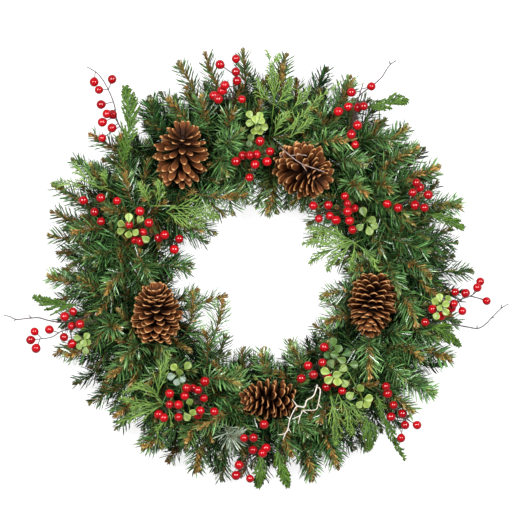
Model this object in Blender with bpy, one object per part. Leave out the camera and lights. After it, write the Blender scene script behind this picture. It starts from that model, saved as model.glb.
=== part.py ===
"""A 24-inch artificial Christmas wreath lying on its back, face up.

A flat double ring of wire carries twelve bundles of evergreen tips. Pine cones, berry
picks, boxwood sprigs, cedar and juniper fronds and bare twigs are wired in from above,
each down to the twisted core of the bundles. Units are metres, +Z is towards the face.
Places on the face are written as (across, down) positions of the picture, with heights
in millimetres above the surface that the wreath lies on.
"""
import math
import random

import bmesh
import bpy
import numpy as np
from mathutils import Matrix, Vector

MM = 0.001
WREATH_DIAMETER = 610 * MM
PICTURE_DIAMETER = 430.0
PICTURE_STEP = WREATH_DIAMETER / PICTURE_DIAMETER
PICTURE_MIDDLE = (256.0, 267.0)
RING_CENTRE = (259.0, 274.0)

GAP = 0.3 * MM
FRAME_RADII = (165 * MM, 203 * MM)
FRAME_WIRE = 2.4 * MM
FRAME_RISE = FRAME_WIRE * math.cos(math.radians(30))
FRAME_STEPS = 18
FRAME_TIES = 4
TIE_WIDTH = 3.2 * MM
TIE_BOTTOM = 0.5 * MM
TIE_TOP = 3.7 * MM

CORE_RADIUS = 184 * MM
CORE_TOP = 34 * MM
# Points of the core's section: distance outward from its middle, share of its height.
CORE_SECTION = [(30 * MM, 0.0), (31 * MM, 0.55), (18 * MM, 1.0), (-18 * MM, 1.0),
                (-31 * MM, 0.55), (-30 * MM, 0.0)]
CORE_STEPS = 5
CORE_SLANT = 9 * MM
CORE_NEEDLE_MARGIN = 1.8 * MM
CORE_FOOT_STEPS = 6
SECTORS = 12
SECTOR_GAP = 0.3 * MM
SEAT = CORE_TOP + GAP

NEEDLE_LENGTH = 27 * MM
NEEDLE_LEAN = math.radians(52)
NEEDLE_STEP = 16.2 * MM
NEEDLED_LENGTH = 56 * MM
TIP_LENGTH = 8 * MM
NEEDLE_MARGIN = 2.8 * MM
STEM_RADIUS = 1.5 * MM
STEM_CLEARANCE = 3 * MM
STEM_MARGIN = 4 * MM
ROOT_MARGIN = 8 * MM
ROOT_HEIGHT = 20 * MM
STEM_ARCH = 14 * MM
LOWEST_NEEDLE = 5.4 * MM

STALK_RADIUS = 1.2 * MM
STALK_END = 1.0 * MM
CONE_STALK = 1.4 * MM
JOINT_SPREAD = 0.95

BERRY_RADIUS = 6.4 * MM
BERRY_WIRE = 0.9 * MM
LOWEST_BERRY_JOINT = 54 * MM
WIRE_END = 0.3 * MM
TWIG_RADIUS = 1.1 * MM
TWIG_END = 0.6 * MM
LOWEST_LEAF_JOINT = 70 * MM
LEAF_RISE = 3 * MM
LEAF_CLEARANCE = 6.5 * MM
LEAF_LENGTH = 14 * MM
LEAF_WIDTH = 8.4 * MM
LEAF_OUTLINE = [(-0.15, 0.42), (0.25, 0.42), (0.5, 0.0), (0.25, -0.42), (-0.15, -0.42)]
BLADE = 0.8 * MM
FROND_RIB = 1.0 * MM
FROND_CLEARANCE = 0.55
SHOOT_AHEAD = 0.85
SHOOT_DROOP = 0.12

# Branch tips that make the outline, as (across, down, height mm, lean in degrees).
OUTER_TIPS = [
    (470, 272, 40, 0), (453, 243, 62, 4), (454, 205, 30, 0), (433, 170, 52, -3),
    (412, 147, 36, 2), (396, 128, 60, -4), (378, 106, 30, 3), (347, 79, 50, 0),
    (324, 73, 34, 5), (286, 57, 56, 6), (243, 55, 36, 0), (207, 58, 60, -4),
    (181, 66, 34, -5), (150, 99, 48, 6), (94, 138, 62, -6), (76, 160, 30, 0),
    (58, 187, 52, 5), (55, 213, 34, 6), (55, 237, 60, 0), (55, 277, 36, -4),
    (57, 318, 30, 0), (59, 353, 52, -3), (80, 383, 30, 3), (93, 401, 56, 6),
    (118, 428, 30, 0), (146, 446, 50, -3), (170, 460, 30, 4), (196, 467, 56, 0),
    (220, 478, 30, -4), (262, 481, 34, 3), (310, 477, 34, 0), (335, 464, 56, -3),
    (368, 447, 34, 3), (400, 424, 30, 0), (430, 392, 54, 4), (447, 357, 34, -3),
    (456, 322, 34, 0),
]
# Branch tips round the hole.
INNER_TIPS = [
    (340, 262, 46, 6), (325, 300, 60, -5), (318, 327, 38, 4), (291, 343, 56, -4),
    (264, 352, 40, 0), (228, 340, 60, 4), (222, 303, 56, -10), (197, 300, 44, 6),
    (190, 271, 60, -4), (203, 240, 40, 4), (232, 218, 60, -4), (270, 212, 46, 5),
    (312, 222, 40, -4),
]
# Rows of tips on the face: distance from the ring's centre, height, how many, lean.
FACE_ROWS = [
    (246 * MM, 78 * MM, 14, 14.0),
    (150 * MM, 84 * MM, 8, 20.0),
]

# Pine cones: centre, height, direction of the tip, length and width in mm, wire's foot.
CONES = {
    "pine_cone_upper_left": ((181, 154), 84, (0.10, 0.68, 0.72), 88, 82, (184, 157)),
    "pine_cone_upper_right": ((303, 170), 84, (0.45, -0.30, 0.80), 74, 82, (304, 165)),
    "pine_cone_left": ((157, 315), 81, (-0.03, 0.86, 0.50), 84, 76, (150, 317)),
    "pine_cone_bottom": ((270, 399), 78, (-0.92, 0.04, 0.38), 80, 62, (270, 399)),
    "pine_cone_right": ((372, 303), 81, (-0.12, -0.90, 0.40), 90, 70, (375, 303)),
}
CONE_ROWS = 7
CONE_SCALES_AROUND = 7

# Berry picks: wires as runs of (across, down, height mm), then the berries.
BERRY_PICKS = {
    "berry_pick_upper_left": (
        [[(164, 170, 0), (150, 162, 37), (138, 150, 42), (126, 136, 54), (117, 121, 66),
          (114, 104, 74), (106, 85, 78), (97, 73, 80), (87, 67, 80)]],
        [(94, 82, 78), (112, 79, 76), (101, 104.5, 80), (107, 114, 84),
         (112, 128, 82), (102, 138, 76)]),
    "berry_pick_top": (
        [[(237, 135, 0), (235, 120, 60), (232, 104, 84), (234, 90, 90), (236, 76, 88)]],
        [(220, 65, 92), (236, 72.5, 97), (225, 86, 100),
         (214, 96, 90), (242, 100, 98)]),
    "berry_pick_upper_centre": (
        [[(252, 152, 0), (252, 155, 60), (253, 158, 82)]],
        [(260, 142, 106), (270, 152, 106), (250, 156, 108),
         (236, 162, 104), (249.5, 178, 98)]),
    "berry_pick_top_right": (
        [[(335, 154, 0), (342, 142, 56), (350, 128, 78), (354, 113, 90), (358, 98, 94),
          (364, 92, 96), (371, 87, 96), (377, 82, 95), (385, 72, 94), (390, 66, 93),
          (396, 61, 92)], [(359, 96, 94), (363, 83, 92)]],
        [(351, 93, 100), (371, 87, 96), (363, 107, 104), (338, 112, 94), (357, 126, 100)]),
    "berry_pick_right": (
        [[(383, 211, 0), (392, 208, 60), (402, 204, 78), (411, 198, 84), (416, 192, 86)]],
        [(416, 183, 94), (411, 193, 97), (428, 195, 93), (424, 208, 94)]),
    "berry_pick_centre_right": (
        [[(350, 200, 0), (346, 206, 58), (338, 210, 80)], [(338, 210, 80), (318, 212, 84)],
         [(338, 210, 80), (347, 216, 86)]],
        [(344.5, 196.5, 96), (313, 206, 98), (328, 205.5, 98),
         (347, 208, 108), (335.5, 220.5, 104), (352, 230, 98)]),
    "berry_pick_far_right": (
        [[(398, 300, 0), (410, 304, 60), (424, 310, 74), (440, 308, 84), (455, 301, 86),
          (470, 296, 86), (478, 290, 86)], [(470, 296, 86), (486, 300, 82)]],
        [(476.5, 287.5, 96), (454.5, 292, 94),
         (453, 303.5, 98), (486.5, 301, 84), (432, 309, 100)]),
    "berry_pick_lower_right": (
        [[(359, 374, 0), (370, 382, 56), (382, 394, 68), (394, 408, 72), (404, 418, 76)]],
        [(385.5, 386, 96), (393.5, 405, 82), (417, 425, 84), (401, 438, 84)]),
    "berry_pick_lower_centre": (
        [[(318, 380, 0), (318, 374, 60), (318, 366, 78), (320, 356, 82)],
         [(318, 374, 60), (330, 382, 68)]],
        [(324, 347, 90), (322, 362, 104), (313, 374, 106), (301, 378, 100), (342, 391, 82)]),
    "berry_pick_bottom": (
        [[(236, 412, 0), (240, 426, 58), (246, 440, 72), (249, 455, 74), (246, 466, 74)]],
        [(264, 423.5, 104), (244, 437.5, 96), (262.5, 452.5, 96),
         (239, 465, 84), (250, 478.5, 84)]),
    "berry_pick_lower_left": (
        [[(190, 394, 0), (189, 397, 62), (188, 400, 78)],
         [(188, 400, 78), (170, 404, 82)], [(188, 400, 78), (203, 404, 84)]],
        [(170, 393, 100), (187, 388, 102), (175, 404, 100),
         (179, 416.5, 98), (200.5, 410, 102), (205, 381, 94)]),
    "berry_pick_left": (
        [[(122, 306, 0), (108, 314, 58), (92, 322, 74), (76, 328, 78), (62, 331, 80),
          (52, 337, 80), (40, 339, 79)]],
        [(73, 311.5, 84), (80.5, 324, 94), (49.5, 329.5, 86), (34.5, 331.5, 80),
         (36, 348.5, 80), (64.5, 337, 92)]),
    "berry_pick_upper_side": (
        [[(128, 222, 0), (118, 216, 56), (106, 208, 68), (95, 203, 72)]],
        [(83.5, 200.5, 86), (101, 198, 86), (94.5, 212, 80), (101, 221.5, 80)]),
    "berry_pick_centre_left": (
        [[(146, 236, 0), (145, 232, 60), (144, 228, 80)],
         [(145, 232, 60), (158, 236, 74), (172, 242, 76)]],
        [(140.5, 211.5, 102), (130, 225, 104), (149.5, 223, 106), (142.5, 236, 98),
         (165, 235, 98), (174.5, 249.5, 84)]),
}

# Boxwood sprigs: the stem's run, then the middles of its leaves.
LEAF_SPRIGS = {
    "boxwood_sprig_top": (
        [(258, 134, 0), (257, 130, 70), (256, 124, 100)],
        [(250.5, 116), (259, 116), (248, 123), (263, 121), (250, 130), (256, 122),
         (263, 129), (259, 133), (253, 137)]),
    "boxwood_sprig_upper_right": (
        [(372, 216, 0), (369, 217, 66), (366, 221, 92)],
        [(363.5, 212), (372, 220), (369, 231), (360, 227)]),
    "boxwood_sprig_right": (
        [(400, 290, 0), (415, 293, 62), (430, 300, 88), (440, 305, 103)],
        [(434, 301), (439, 297), (445, 299), (442, 311)]),
    "boxwood_sprig_left": (
        [(133, 233, 0), (131, 231, 66), (130, 227, 88)],
        [(130, 217.5), (122, 223), (121, 231), (129, 235.5), (137, 233)]),
    "boxwood_sprig_lower_side": (
        [(124, 318, 0), (110, 327, 56), (95, 336, 70), (84, 339, 84)],
        [(91, 331), (91, 342), (84, 349)]),
    "boxwood_sprig_lower_left": (
        [(176, 362, 0), (178, 366, 66), (179, 373, 92)],
        [(174, 366), (170.5, 375), (176, 382), (187, 377), (186.5, 366)]),
    "boxwood_sprig_lower_right": (
        [(347, 368, 0), (346, 366, 66), (345, 370, 92), (353, 379, 95), (359, 392, 90),
         (364, 401, 86)],
        [(336, 366), (334, 374), (337, 382), (341, 359), (355, 364),
         (349, 394), (361, 384), (369, 397), (369, 406), (358, 405)]),
}

# Fronds: bare stem's run, leafy run, half width and number of side shoots on each side.
FRONDS = {
    "cedar_frond_upper_left": (
        [(158, 174, 0), (140, 176, 56), (124, 166, 78)],
        [(124, 166, 78), (122, 145, 90), (124, 122, 92), (125, 104, 88), (125, 87, 84)],
        13, 7),
    "cedar_frond_top_right": (
        [(349, 172, 0), (358, 150, 58), (367, 120, 76), (371, 101, 86)],
        [(371, 101, 90), (384, 102, 92), (396, 101, 90), (407, 101, 84)], 10, 4),
    "cedar_frond_right": (
        [(393, 233, 0), (412, 226, 62), (430, 217, 78)],
        [(430, 217, 78), (442, 218, 82), (453, 222, 81), (463, 227, 76)], 10, 4),
    "cedar_frond_left": (
        [(118, 290, 0), (100, 297, 58), (80, 303, 66)],
        [(80, 303, 66), (64, 306, 70), (50, 303, 74), (33, 298, 74)], 11, 4),
    "cedar_frond_lower_right": (
        [(340, 391, 0), (350, 402, 60), (364, 414, 76)],
        [(364, 414, 76), (369, 425, 82), (370, 437, 82), (369, 450, 76)], 12, 4),
    "cedar_frond_bottom": (
        [(262, 414, 0), (264, 424, 38), (263, 440, 58), (261, 455, 74)],
        [(261, 455, 74), (260, 466, 78), (259, 477, 77), (258, 487, 72)], 9, 4),
    "cedar_frond_bottom_right": (
        [(284, 412, 0), (283, 430, 56), (277, 452, 72)],
        [(277, 452, 72), (280, 464, 76), (284, 476, 75), (288, 487, 70)], 9, 4),
    "cedar_frond_lower_side": (
        [(393, 322, 0), (410, 332, 56), (428, 327, 80)],
        [(428, 327, 80), (438, 327, 86), (449, 335, 86), (460, 346, 80)], 10, 4),
    "cedar_strand_lower_right": (
        [(364, 368, 0), (370, 380, 44), (376, 392, 60)],
        [(376, 396, 78), (384, 415, 84), (394, 438, 76), (406, 462, 62)], 4, 4),
    "juniper_frond_top": (
        [(272, 136, 0), (272, 120, 62), (274, 104, 82)],
        [(274, 104, 82), (275, 86, 92), (271, 66, 88), (267, 47, 80)], 18, 6),
    "juniper_frond_upper_right": (
        [(286, 140, 0), (289, 132, 66), (296, 124, 88)],
        [(296, 124, 88), (308, 108, 94), (326, 93, 92), (344, 80, 84)], 12, 5),
    "juniper_frond_centre_left": (
        [(164, 208, 0), (168, 206, 60), (176, 206, 84)],
        [(176, 206, 84), (190, 209, 88), (204, 213, 86), (219, 218, 78)], 16, 5),
    "juniper_frond_upper_side": (
        [(136, 206, 0), (118, 194, 56), (102, 187, 72)],
        [(102, 187, 72), (90, 181, 77), (80, 172, 78), (72, 161, 74)], 10, 4),
    "juniper_frond_centre_right": (
        [(372, 236, 0), (364, 239, 62), (354, 243, 84)],
        [(354, 243, 84), (338, 248, 88), (322, 252, 86), (305, 252, 76)], 18, 5),
    "juniper_frond_lower_right": (
        [(330, 388, 0), (332, 397, 66), (335, 404, 82)],
        [(335, 404, 82), (339, 417, 86), (343, 430, 84), (346, 444, 76)], 14, 5),
    "juniper_frond_lower_left": (
        [(160, 374, 0), (158, 388, 60), (153, 400, 80)],
        [(153, 400, 80), (143, 407, 86), (131, 414, 84), (117, 421, 76)], 16, 5),
}

# Bare twigs: the main run first, then its side shoots.
TWIGS = {
    "twig_left": [
        [(120, 300, 0), (102, 309, 52), (82, 318, 66), (62, 322, 73), (49, 321, 76),
         (39, 318, 77), (31, 317.7, 77), (24.5, 319, 77), (16, 319, 77), (9, 316.5, 77),
         (3, 315.5, 77)],
        [(31, 317.7, 77), (28.5, 315.5, 80)], [(16, 319, 77), (13.5, 321.5, 75)]],
    "twig_right": [
        [(395, 312, 0), (415, 320, 58), (440, 325, 70), (455, 325, 74), (467, 326.5, 78),
         (478, 328, 80), (486, 323, 80), (491, 318, 80), (501, 308, 80), (509, 304, 80)],
        [(491, 318, 80), (493, 317.5, 84)], [(501, 308, 80), (501.5, 304.5, 82)]],
    "twig_white": [
        [(315, 388, 0), (316, 387, 64), (317, 385, 94), (312, 396, 104), (306, 400, 108),
         (297, 405, 112), (290, 418, 108), (288, 428, 102), (283, 439, 96)],
        [(316, 387, 92), (319, 396, 98), (318, 404, 98), (314, 410, 98), (303, 411, 104),
         (292, 417, 107)],
        [(297, 405, 112), (292, 398, 114)], [(288, 428, 102), (279, 433, 98)]],
    "twig_grey": [
        [(281, 146, 0), (280, 147, 70), (281, 149, 112), (290, 157, 134), (300, 164, 138),
         (312, 169, 137), (324, 173, 131)],
        [(290, 157, 134), (298, 156, 138)], [(300, 164, 138), (306, 172, 136)]],
}

COLOURS = {
    "wire": (0.05, 0.08, 0.05, 0.45, 0.6),
    "foliage": (0.03, 0.12, 0.05, 0.55, 0.0),
    "cone": (0.22, 0.09, 0.035, 0.75, 0.0),
    "berry": (0.55, 0.01, 0.02, 0.25, 0.0),
    "boxwood": (0.45, 0.58, 0.14, 0.6, 0.0),
    "cedar": (0.10, 0.27, 0.03, 0.6, 0.0),
    "juniper": (0.18, 0.38, 0.12, 0.6, 0.0),
    "twig": (0.09, 0.06, 0.05, 0.8, 0.0),
    "white_twig": (0.68, 0.60, 0.50, 0.8, 0.0),
}


def clear_scene():
    """Take every object out of the file, so that only the wreath is left."""
    for item in list(bpy.data.objects):
        bpy.data.objects.remove(item, do_unlink=True)


def material(key):
    """The plain material of a kind of piece, made once."""
    found = bpy.data.materials.get(key)
    if found:
        return found
    red, green, blue, rough, metal = COLOURS[key]
    made = bpy.data.materials.new(key)
    made.use_nodes = True
    shader = made.node_tree.nodes["Principled BSDF"]
    shader.inputs["Base Color"].default_value = (red, green, blue, 1.0)
    shader.inputs["Roughness"].default_value = rough
    shader.inputs["Metallic"].default_value = metal
    made.diffuse_color = (red, green, blue, 1.0)
    return made


def place(across, down, height=0.0):
    """A point of the face, from its place in the picture and its height in mm."""
    return Vector(((across - PICTURE_MIDDLE[0]) * PICTURE_STEP,
                   (PICTURE_MIDDLE[1] - down) * PICTURE_STEP, height * MM))


def run(points):
    """A wire's points in metres; a height of 0 stands for the seat on the core."""
    return [place(x, y, z) if z else place(x, y, SEAT / MM) for x, y, z in points]


CENTRE = place(*RING_CENTRE)


def add_mesh(name, shell, key, collection=None):
    """One object from vertices and faces."""
    points, faces = shell
    mesh = bpy.data.meshes.new(name)
    mesh.from_pydata([tuple(p) for p in points], [], faces)
    item = bpy.data.objects.new(name, mesh)
    (collection or bpy.context.scene.collection).objects.link(item)
    item.data.materials.append(material(key))
    return item


def keep_outer_skin(mesh):
    """Fill sealed hollows and drop loose scraps: only the largest shell stays."""
    work = bmesh.new()
    work.from_mesh(mesh)
    bmesh.ops.triangulate(work, faces=work.faces)
    left = set(work.faces)
    shells = []
    while left:
        seed = left.pop()
        shell = [seed]
        queue = [seed]
        while queue:
            face = queue.pop()
            for edge in face.edges:
                for near in edge.link_faces:
                    if near in left:
                        left.remove(near)
                        shell.append(near)
                        queue.append(near)
        volume = sum(f.verts[0].co.dot(f.verts[1].co.cross(f.verts[2].co)) for f in shell)
        shells.append((volume, shell))
    shells.sort(key=lambda pair: pair[0])
    for _, shell in shells[:-1]:
        bmesh.ops.delete(work, geom=shell, context="FACES")
    work.to_mesh(mesh)
    work.free()


def fuse(name, shells, key):
    """Join closed shells into one body with one Boolean union on a collection.

    The exact solver leaves open edges where thin blades cross, so the union is manifold.
    """
    body = add_mesh(name, shells[0], key)
    if len(shells) > 1:
        repeats = bpy.data.collections.new(name + "_repeats")
        bpy.context.scene.collection.children.link(repeats)
        parts = [add_mesh(name + "_repeat", s, key, repeats) for s in shells[1:]]
        union = body.modifiers.new("union", "BOOLEAN")
        union.operation = "UNION"
        union.operand_type = "COLLECTION"
        union.collection = repeats
        union.solver = "MANIFOLD"
        graph = bpy.context.evaluated_depsgraph_get()
        joined = bpy.data.meshes.new_from_object(body.evaluated_get(graph))
        body.modifiers.clear()
        body.data = joined
        for part in parts:
            bpy.data.objects.remove(part, do_unlink=True)
        bpy.data.collections.remove(repeats)
    keep_outer_skin(body.data)
    body.data.name = name
    return body


def across_axes(direction):
    """Two unit directions square to a direction, the first of them level."""
    side = direction.cross(Vector((0, 0, 1)))
    if side.length < 0.05:
        side = direction.cross(Vector((1, 0, 0)))
    side.normalize()
    return side, side.cross(direction).normalized()


def tube(path, start_radius, end_radius, sides=3):
    """A tapering wire along a path, with flat ends, its foot kept above the seat."""
    points = []
    faces = []
    last = len(path) - 1
    for i, centre in enumerate(path):
        ahead = path[min(i + 1, last)] - path[max(i - 1, 0)]
        side, up = across_axes(ahead.normalized())
        radius = start_radius + (end_radius - start_radius) * i / last
        for k in range(sides):
            turn = math.tau * k / sides
            point = centre + radius * (math.cos(turn) * side - math.sin(turn) * up)
            if i == 0:
                point.z = max(point.z, SEAT)
            points.append(point)
    for i in range(last):
        for k in range(sides):
            a = i * sides + k
            b = i * sides + (k + 1) % sides
            faces.append((a, b, b + sides, a + sides))
    faces.append(tuple(reversed(range(sides))))
    faces.append(tuple(range(last * sides, last * sides + sides)))
    return points, faces


def ball(centre, joint):
    """A berry with twenty sides, one of them drawn out into its wire to the joint."""
    work = bmesh.new()
    bmesh.ops.create_icosphere(work, subdivisions=1, radius=BERRY_RADIUS)
    points = [v.co.copy() for v in work.verts]
    faces = [tuple(v.index for v in f.verts) for f in work.faces]
    work.free()
    toward = joint - centre
    if toward.length < BERRY_RADIUS + 1 * MM:
        return [centre + p for p in points], faces
    middles = [sum((points[v] for v in f), Vector()) / 3 for f in faces]
    front = max(range(len(faces)), key=lambda k: middles[k].dot(toward))
    turn = middles[front].rotation_difference(toward)
    points = [turn @ p for p in points]
    face = faces.pop(front)
    middle = sum((points[v] for v in face), Vector()) / 3
    first = len(points)
    for spot, radius in ((middle, BERRY_WIRE), (toward, WIRE_END)):
        for v in face:
            points.append(spot + (points[v] - middle).normalized() * radius)
    for k in range(3):
        on = (k + 1) % 3
        faces += [(face[k], face[on], first + on), (face[k], first + on, first + k)]
        faces += [(first + k, first + on, first + 3 + on),
                  (first + k, first + 3 + on, first + 3 + k)]
    faces.append((first + 3, first + 4, first + 5))
    return [centre + p for p in points], faces


class Clearance:
    """The round bars that the foliage keeps clear of: one for each wire, leaf or berry."""

    def __init__(self):
        self.bars = []
        self.table = None

    def add(self, start, end, radius):
        self.bars.append((tuple(start), tuple(end), radius))
        self.table = None

    def add_run(self, path, radius):
        for start, end in zip(path, path[1:]):
            self.add(start, end, radius)

    def free(self, start, end, margin):
        """True where the line from start to end stays clear of every bar."""
        if self.table is None:
            begin = np.array([b[0] for b in self.bars])
            finish = np.array([b[1] for b in self.bars])
            self.table = begin, finish - begin, np.array([b[2] for b in self.bars])
        begin, along, radius = self.table
        steps = 2 + int((end - start).length / (2 * MM))
        share = np.linspace(0.0, 1.0, steps)[:, None]
        line = np.array(start) + share * (np.array(end) - np.array(start))
        away = line[:, None, :] - begin[None, :, :]
        size = np.maximum((along * along).sum(axis=1), 1e-12)
        where = np.clip((away * along).sum(axis=2) / size, 0.0, 1.0)
        gap = np.linalg.norm(away - where[:, :, None] * along, axis=2) - radius
        return float(gap.min()) > margin


CLEARANCE = Clearance()


def build_ring_frame():
    """Two flat-bottomed wire rings, welded together by short ties."""
    shells = []
    for radius in FRAME_RADII:
        shells.append(wire_ring(radius))
    half = (FRAME_RADII[1] - FRAME_RADII[0]) / 2
    middle = (FRAME_RADII[1] + FRAME_RADII[0]) / 2
    for k in range(FRAME_TIES):
        turn = math.tau * (k + 0.5) / FRAME_TIES
        out = Vector((math.cos(turn), math.sin(turn), 0))
        side = Vector((-out.y, out.x, 0))
        corners = [(-half, -1), (half, -1), (half, 1), (-half, 1)]
        flat = [CENTRE + out * (middle + r) + side * s * TIE_WIDTH / 2 for r, s in corners]
        low = [p + Vector((0, 0, TIE_BOTTOM)) for p in flat]
        high = [p + Vector((0, 0, TIE_TOP)) for p in flat]
        faces = [(3, 2, 1, 0), (4, 5, 6, 7)]
        faces += [(a, (a + 1) % 4, (a + 1) % 4 + 4, a + 4) for a in range(4)]
        shells.append((low + high, faces))
    fuse("ring_frame", shells, "wire")


def wire_ring(radius):
    """A ring of wire with a six-sided section that has one side flat on the surface."""
    points = []
    faces = []
    for i in range(FRAME_STEPS):
        turn = math.tau * i / FRAME_STEPS
        out = Vector((math.cos(turn), math.sin(turn), 0))
        for k in range(6):
            bend = math.radians(60 * k)
            height = FRAME_RISE + FRAME_WIRE * math.sin(bend)
            points.append(CENTRE + out * (radius + FRAME_WIRE * math.cos(bend))
                          + Vector((0, 0, height)))
    for i in range(FRAME_STEPS):
        near = (i + 1) % FRAME_STEPS
        for k in range(6):
            on = (k + 1) % 6
            faces.append((i * 6 + k, near * 6 + k, near * 6 + on, i * 6 + on))
    return points, faces


def cone_shell(length, width):
    """A cone's body whose surface rises into rows of broad scales, tip along +Z."""
    count = CONE_SCALES_AROUND
    half = math.pi / count
    body = 0.34 * width / 2
    points = []
    rows = []
    for i in range(CONE_ROWS + 2):
        share = i / (CONE_ROWS + 1)
        radius = body * (0.35 + 0.65 * math.sin(math.pi * (0.15 + 0.75 * share)))
        height = length * (-0.42 + 0.80 * share)
        rows.append(len(points))
        for j in range(count):
            turn = 2 * half * j + half * (i % 2)
            points.append(Vector((radius * math.cos(turn), radius * math.sin(turn), height)))
    foot = len(points)
    points.append(Vector((0, 0, length * -0.45)))
    tip = len(points)
    points.append(Vector((0, 0, length * 0.42)))
    faces = []
    for j in range(count):
        on = (j + 1) % count
        faces.append((foot, rows[0] + on, rows[0] + j))
        faces.append((tip, rows[-1] + j, rows[-1] + on))
        faces.append((rows[0] + j, rows[0] + on, rows[1] + j))
        last = rows[-2]
        shift = (len(rows) - 2) % 2
        crown = (j + shift) % count
        faces.append((last + j, rows[-1] + crown, rows[-1] + (crown - 1) % count))
    for i in range(CONE_ROWS):
        share = (i + 1) / (CONE_ROWS + 1)
        lean = math.radians(122 - 105 * share)
        reach = width / 2 * (0.92 * math.sin(math.pi * (0.22 + 0.66 * share))) - body * 0.55
        for j in range(count):
            shift = i % 2
            bottom = rows[i] + j
            left = rows[i + 1] + (j + shift - 1) % count
            right = rows[i + 1] + (j + shift) % count
            top = rows[i + 2] + j
            turn = 2 * half * j + half * shift
            out = Vector((math.cos(turn), math.sin(turn), 0))
            side = Vector((-out.y, out.x, 0))
            ahead = math.sin(lean) * out + Vector((0, 0, math.cos(lean)))
            root = (points[left] + points[right]) / 2
            wing = 0.42 * reach * side
            rim = len(points)
            points.append(root + 0.86 * reach * ahead - wing)
            points.append(root + reach * ahead)
            points.append(root + 0.86 * reach * ahead + wing)
            faces += [(bottom, right, rim + 2), (bottom, rim + 2, rim + 1),
                      (bottom, rim + 1, rim), (bottom, rim, left),
                      (left, rim, top), (rim, rim + 1, top),
                      (rim + 1, rim + 2, top), (rim + 2, right, top)]
    return points, faces


def build_cones():
    """Open pine cones, each held by a wire stalk down to the core."""
    for name, (spot, height, tip, length, width, foot) in CONES.items():
        centre = place(*spot, height)
        axis = Vector(tip).normalized()
        points, faces = cone_shell(length * MM, width * MM)
        turn = axis.to_track_quat("Z", "Y").to_matrix().to_4x4()
        points = [Matrix.Translation(centre) @ turn @ p for p in points]
        stalk = [place(*foot, SEAT / MM), centre]
        fuse(name, [(points, faces), tube(stalk, CONE_STALK, CONE_STALK)], "cone")
        reach = axis * length * MM * 0.22
        CLEARANCE.add(centre - reach, centre + reach, width * MM * 0.5)
        CLEARANCE.add(centre - 2 * reach, centre + 2 * reach, width * MM * 0.3)
        CLEARANCE.add(stalk[0], stalk[1], CONE_STALK)


def spread_joints(paths, spots, lowest):
    """A joint for each spot, near it and evenly spread along the wires above a height."""
    marks = []
    for path in paths:
        points = [p for p in path if p.z > lowest]
        if len(points) < 2:
            points = path[-2:]
            points = [points[0].lerp(points[1], 0.5), points[1]]
        marks.append(points)
    wanted = []
    for spot in spots:
        best = None
        for w, points in enumerate(marks):
            passed = 0.0
            for start, end in zip(points, points[1:]):
                along = end - start
                share = min(max((spot - start).dot(along) / along.length_squared, 0.0), 1.0)
                gap = (start + along * share - spot).length
                if best is None or gap < best[0]:
                    best = (gap, w, passed + share * along.length)
                passed += along.length
        wanted.append(best[1:])
    joints = [None] * len(spots)
    for w, points in enumerate(marks):
        order = sorted((k for k in range(len(spots)) if wanted[k][0] == w),
                       key=lambda k: wanted[k][1])
        for rank, k in enumerate(order):
            joints[k] = along_run(points, JOINT_SPREAD * (rank + 0.5) / len(order))
    return joints


def along_run(path, share):
    """The point at a share of a path's length."""
    total = sum((b - a).length for a, b in zip(path, path[1:]))
    left = share * total
    for start, end in zip(path, path[1:]):
        size = (end - start).length
        if left <= size:
            return start.lerp(end, left / size)
        left -= size
    return path[-1].copy()


def build_berry_picks():
    """Berries on wire stems, branching off a main wire that comes up from the core."""
    for name, (wires, berries) in BERRY_PICKS.items():
        paths = [run(w) for w in wires]
        shells = []
        for path in paths:
            shells.append(tube(path, STALK_RADIUS, STALK_END))
            CLEARANCE.add_run(path, STALK_RADIUS)
        spots = [place(x, y, z) for x, y, z in berries]
        for centre, joint in zip(spots, spread_joints(paths, spots, LOWEST_BERRY_JOINT)):
            shells.append(ball(centre, joint))
            CLEARANCE.add(centre, centre, BERRY_RADIUS)
            CLEARANCE.add(joint, centre, BERRY_WIRE)
        fuse(name, shells, "berry")


def leaf(joint, centre):
    """One oval leaf with its stalk, a thin blade from inside the stem past its centre."""
    ahead = centre - joint
    ahead.normalize()
    side, up = across_axes(ahead)
    reach = (centre - joint).length
    rise = up * BLADE / 2
    outline = [joint - side * WIRE_END, joint + side * WIRE_END]
    for along, wide in LEAF_OUTLINE:
        outline.append(joint + ahead * (reach + along * LEAF_LENGTH) + side * wide * LEAF_WIDTH)
    count = len(outline)
    points = [p - rise for p in outline] + [p + rise for p in outline]
    faces = [tuple(reversed(range(count))), tuple(range(count, 2 * count))]
    faces += [(k, (k + 1) % count, (k + 1) % count + count, k + count) for k in range(count)]
    return points, faces


def build_leaf_sprigs():
    """Boxwood sprigs: a stem with oval leaves, each a thin blade."""
    for name, (stem, leaves) in LEAF_SPRIGS.items():
        path = run(stem)
        shells = [tube(path, STALK_RADIUS, STALK_END)]
        CLEARANCE.add_run(path, STALK_RADIUS)
        spots = [place(x, y, path[-1].z / MM) for x, y in leaves]
        for centre, joint in zip(spots, spread_joints([path], spots, LOWEST_LEAF_JOINT)):
            centre.z = joint.z + LEAF_RISE
            if (centre - joint).length < 0.45 * LEAF_LENGTH:
                aside = Vector((centre.x - joint.x, centre.y - joint.y, 1 * MM)).normalized()
                centre = joint + aside * 0.45 * LEAF_LENGTH
            shells.append(leaf(joint, centre))
            CLEARANCE.add(joint, centre, 2 * MM)
            CLEARANCE.add(centre, centre, LEAF_CLEARANCE)
        fuse(name, shells, "boxwood")


def build_twigs():
    """Bare twigs with short side shoots."""
    for name, runs in TWIGS.items():
        shells = []
        for i, points in enumerate(runs):
            path = run(points)
            start = TWIG_RADIUS * (1.15 if i == 0 else 0.8)
            shells.append(tube(path, start, TWIG_END))
            CLEARANCE.add_run(path, start)
        fuse(name, shells, "white_twig" if name == "twig_white" else "twig")


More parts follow.
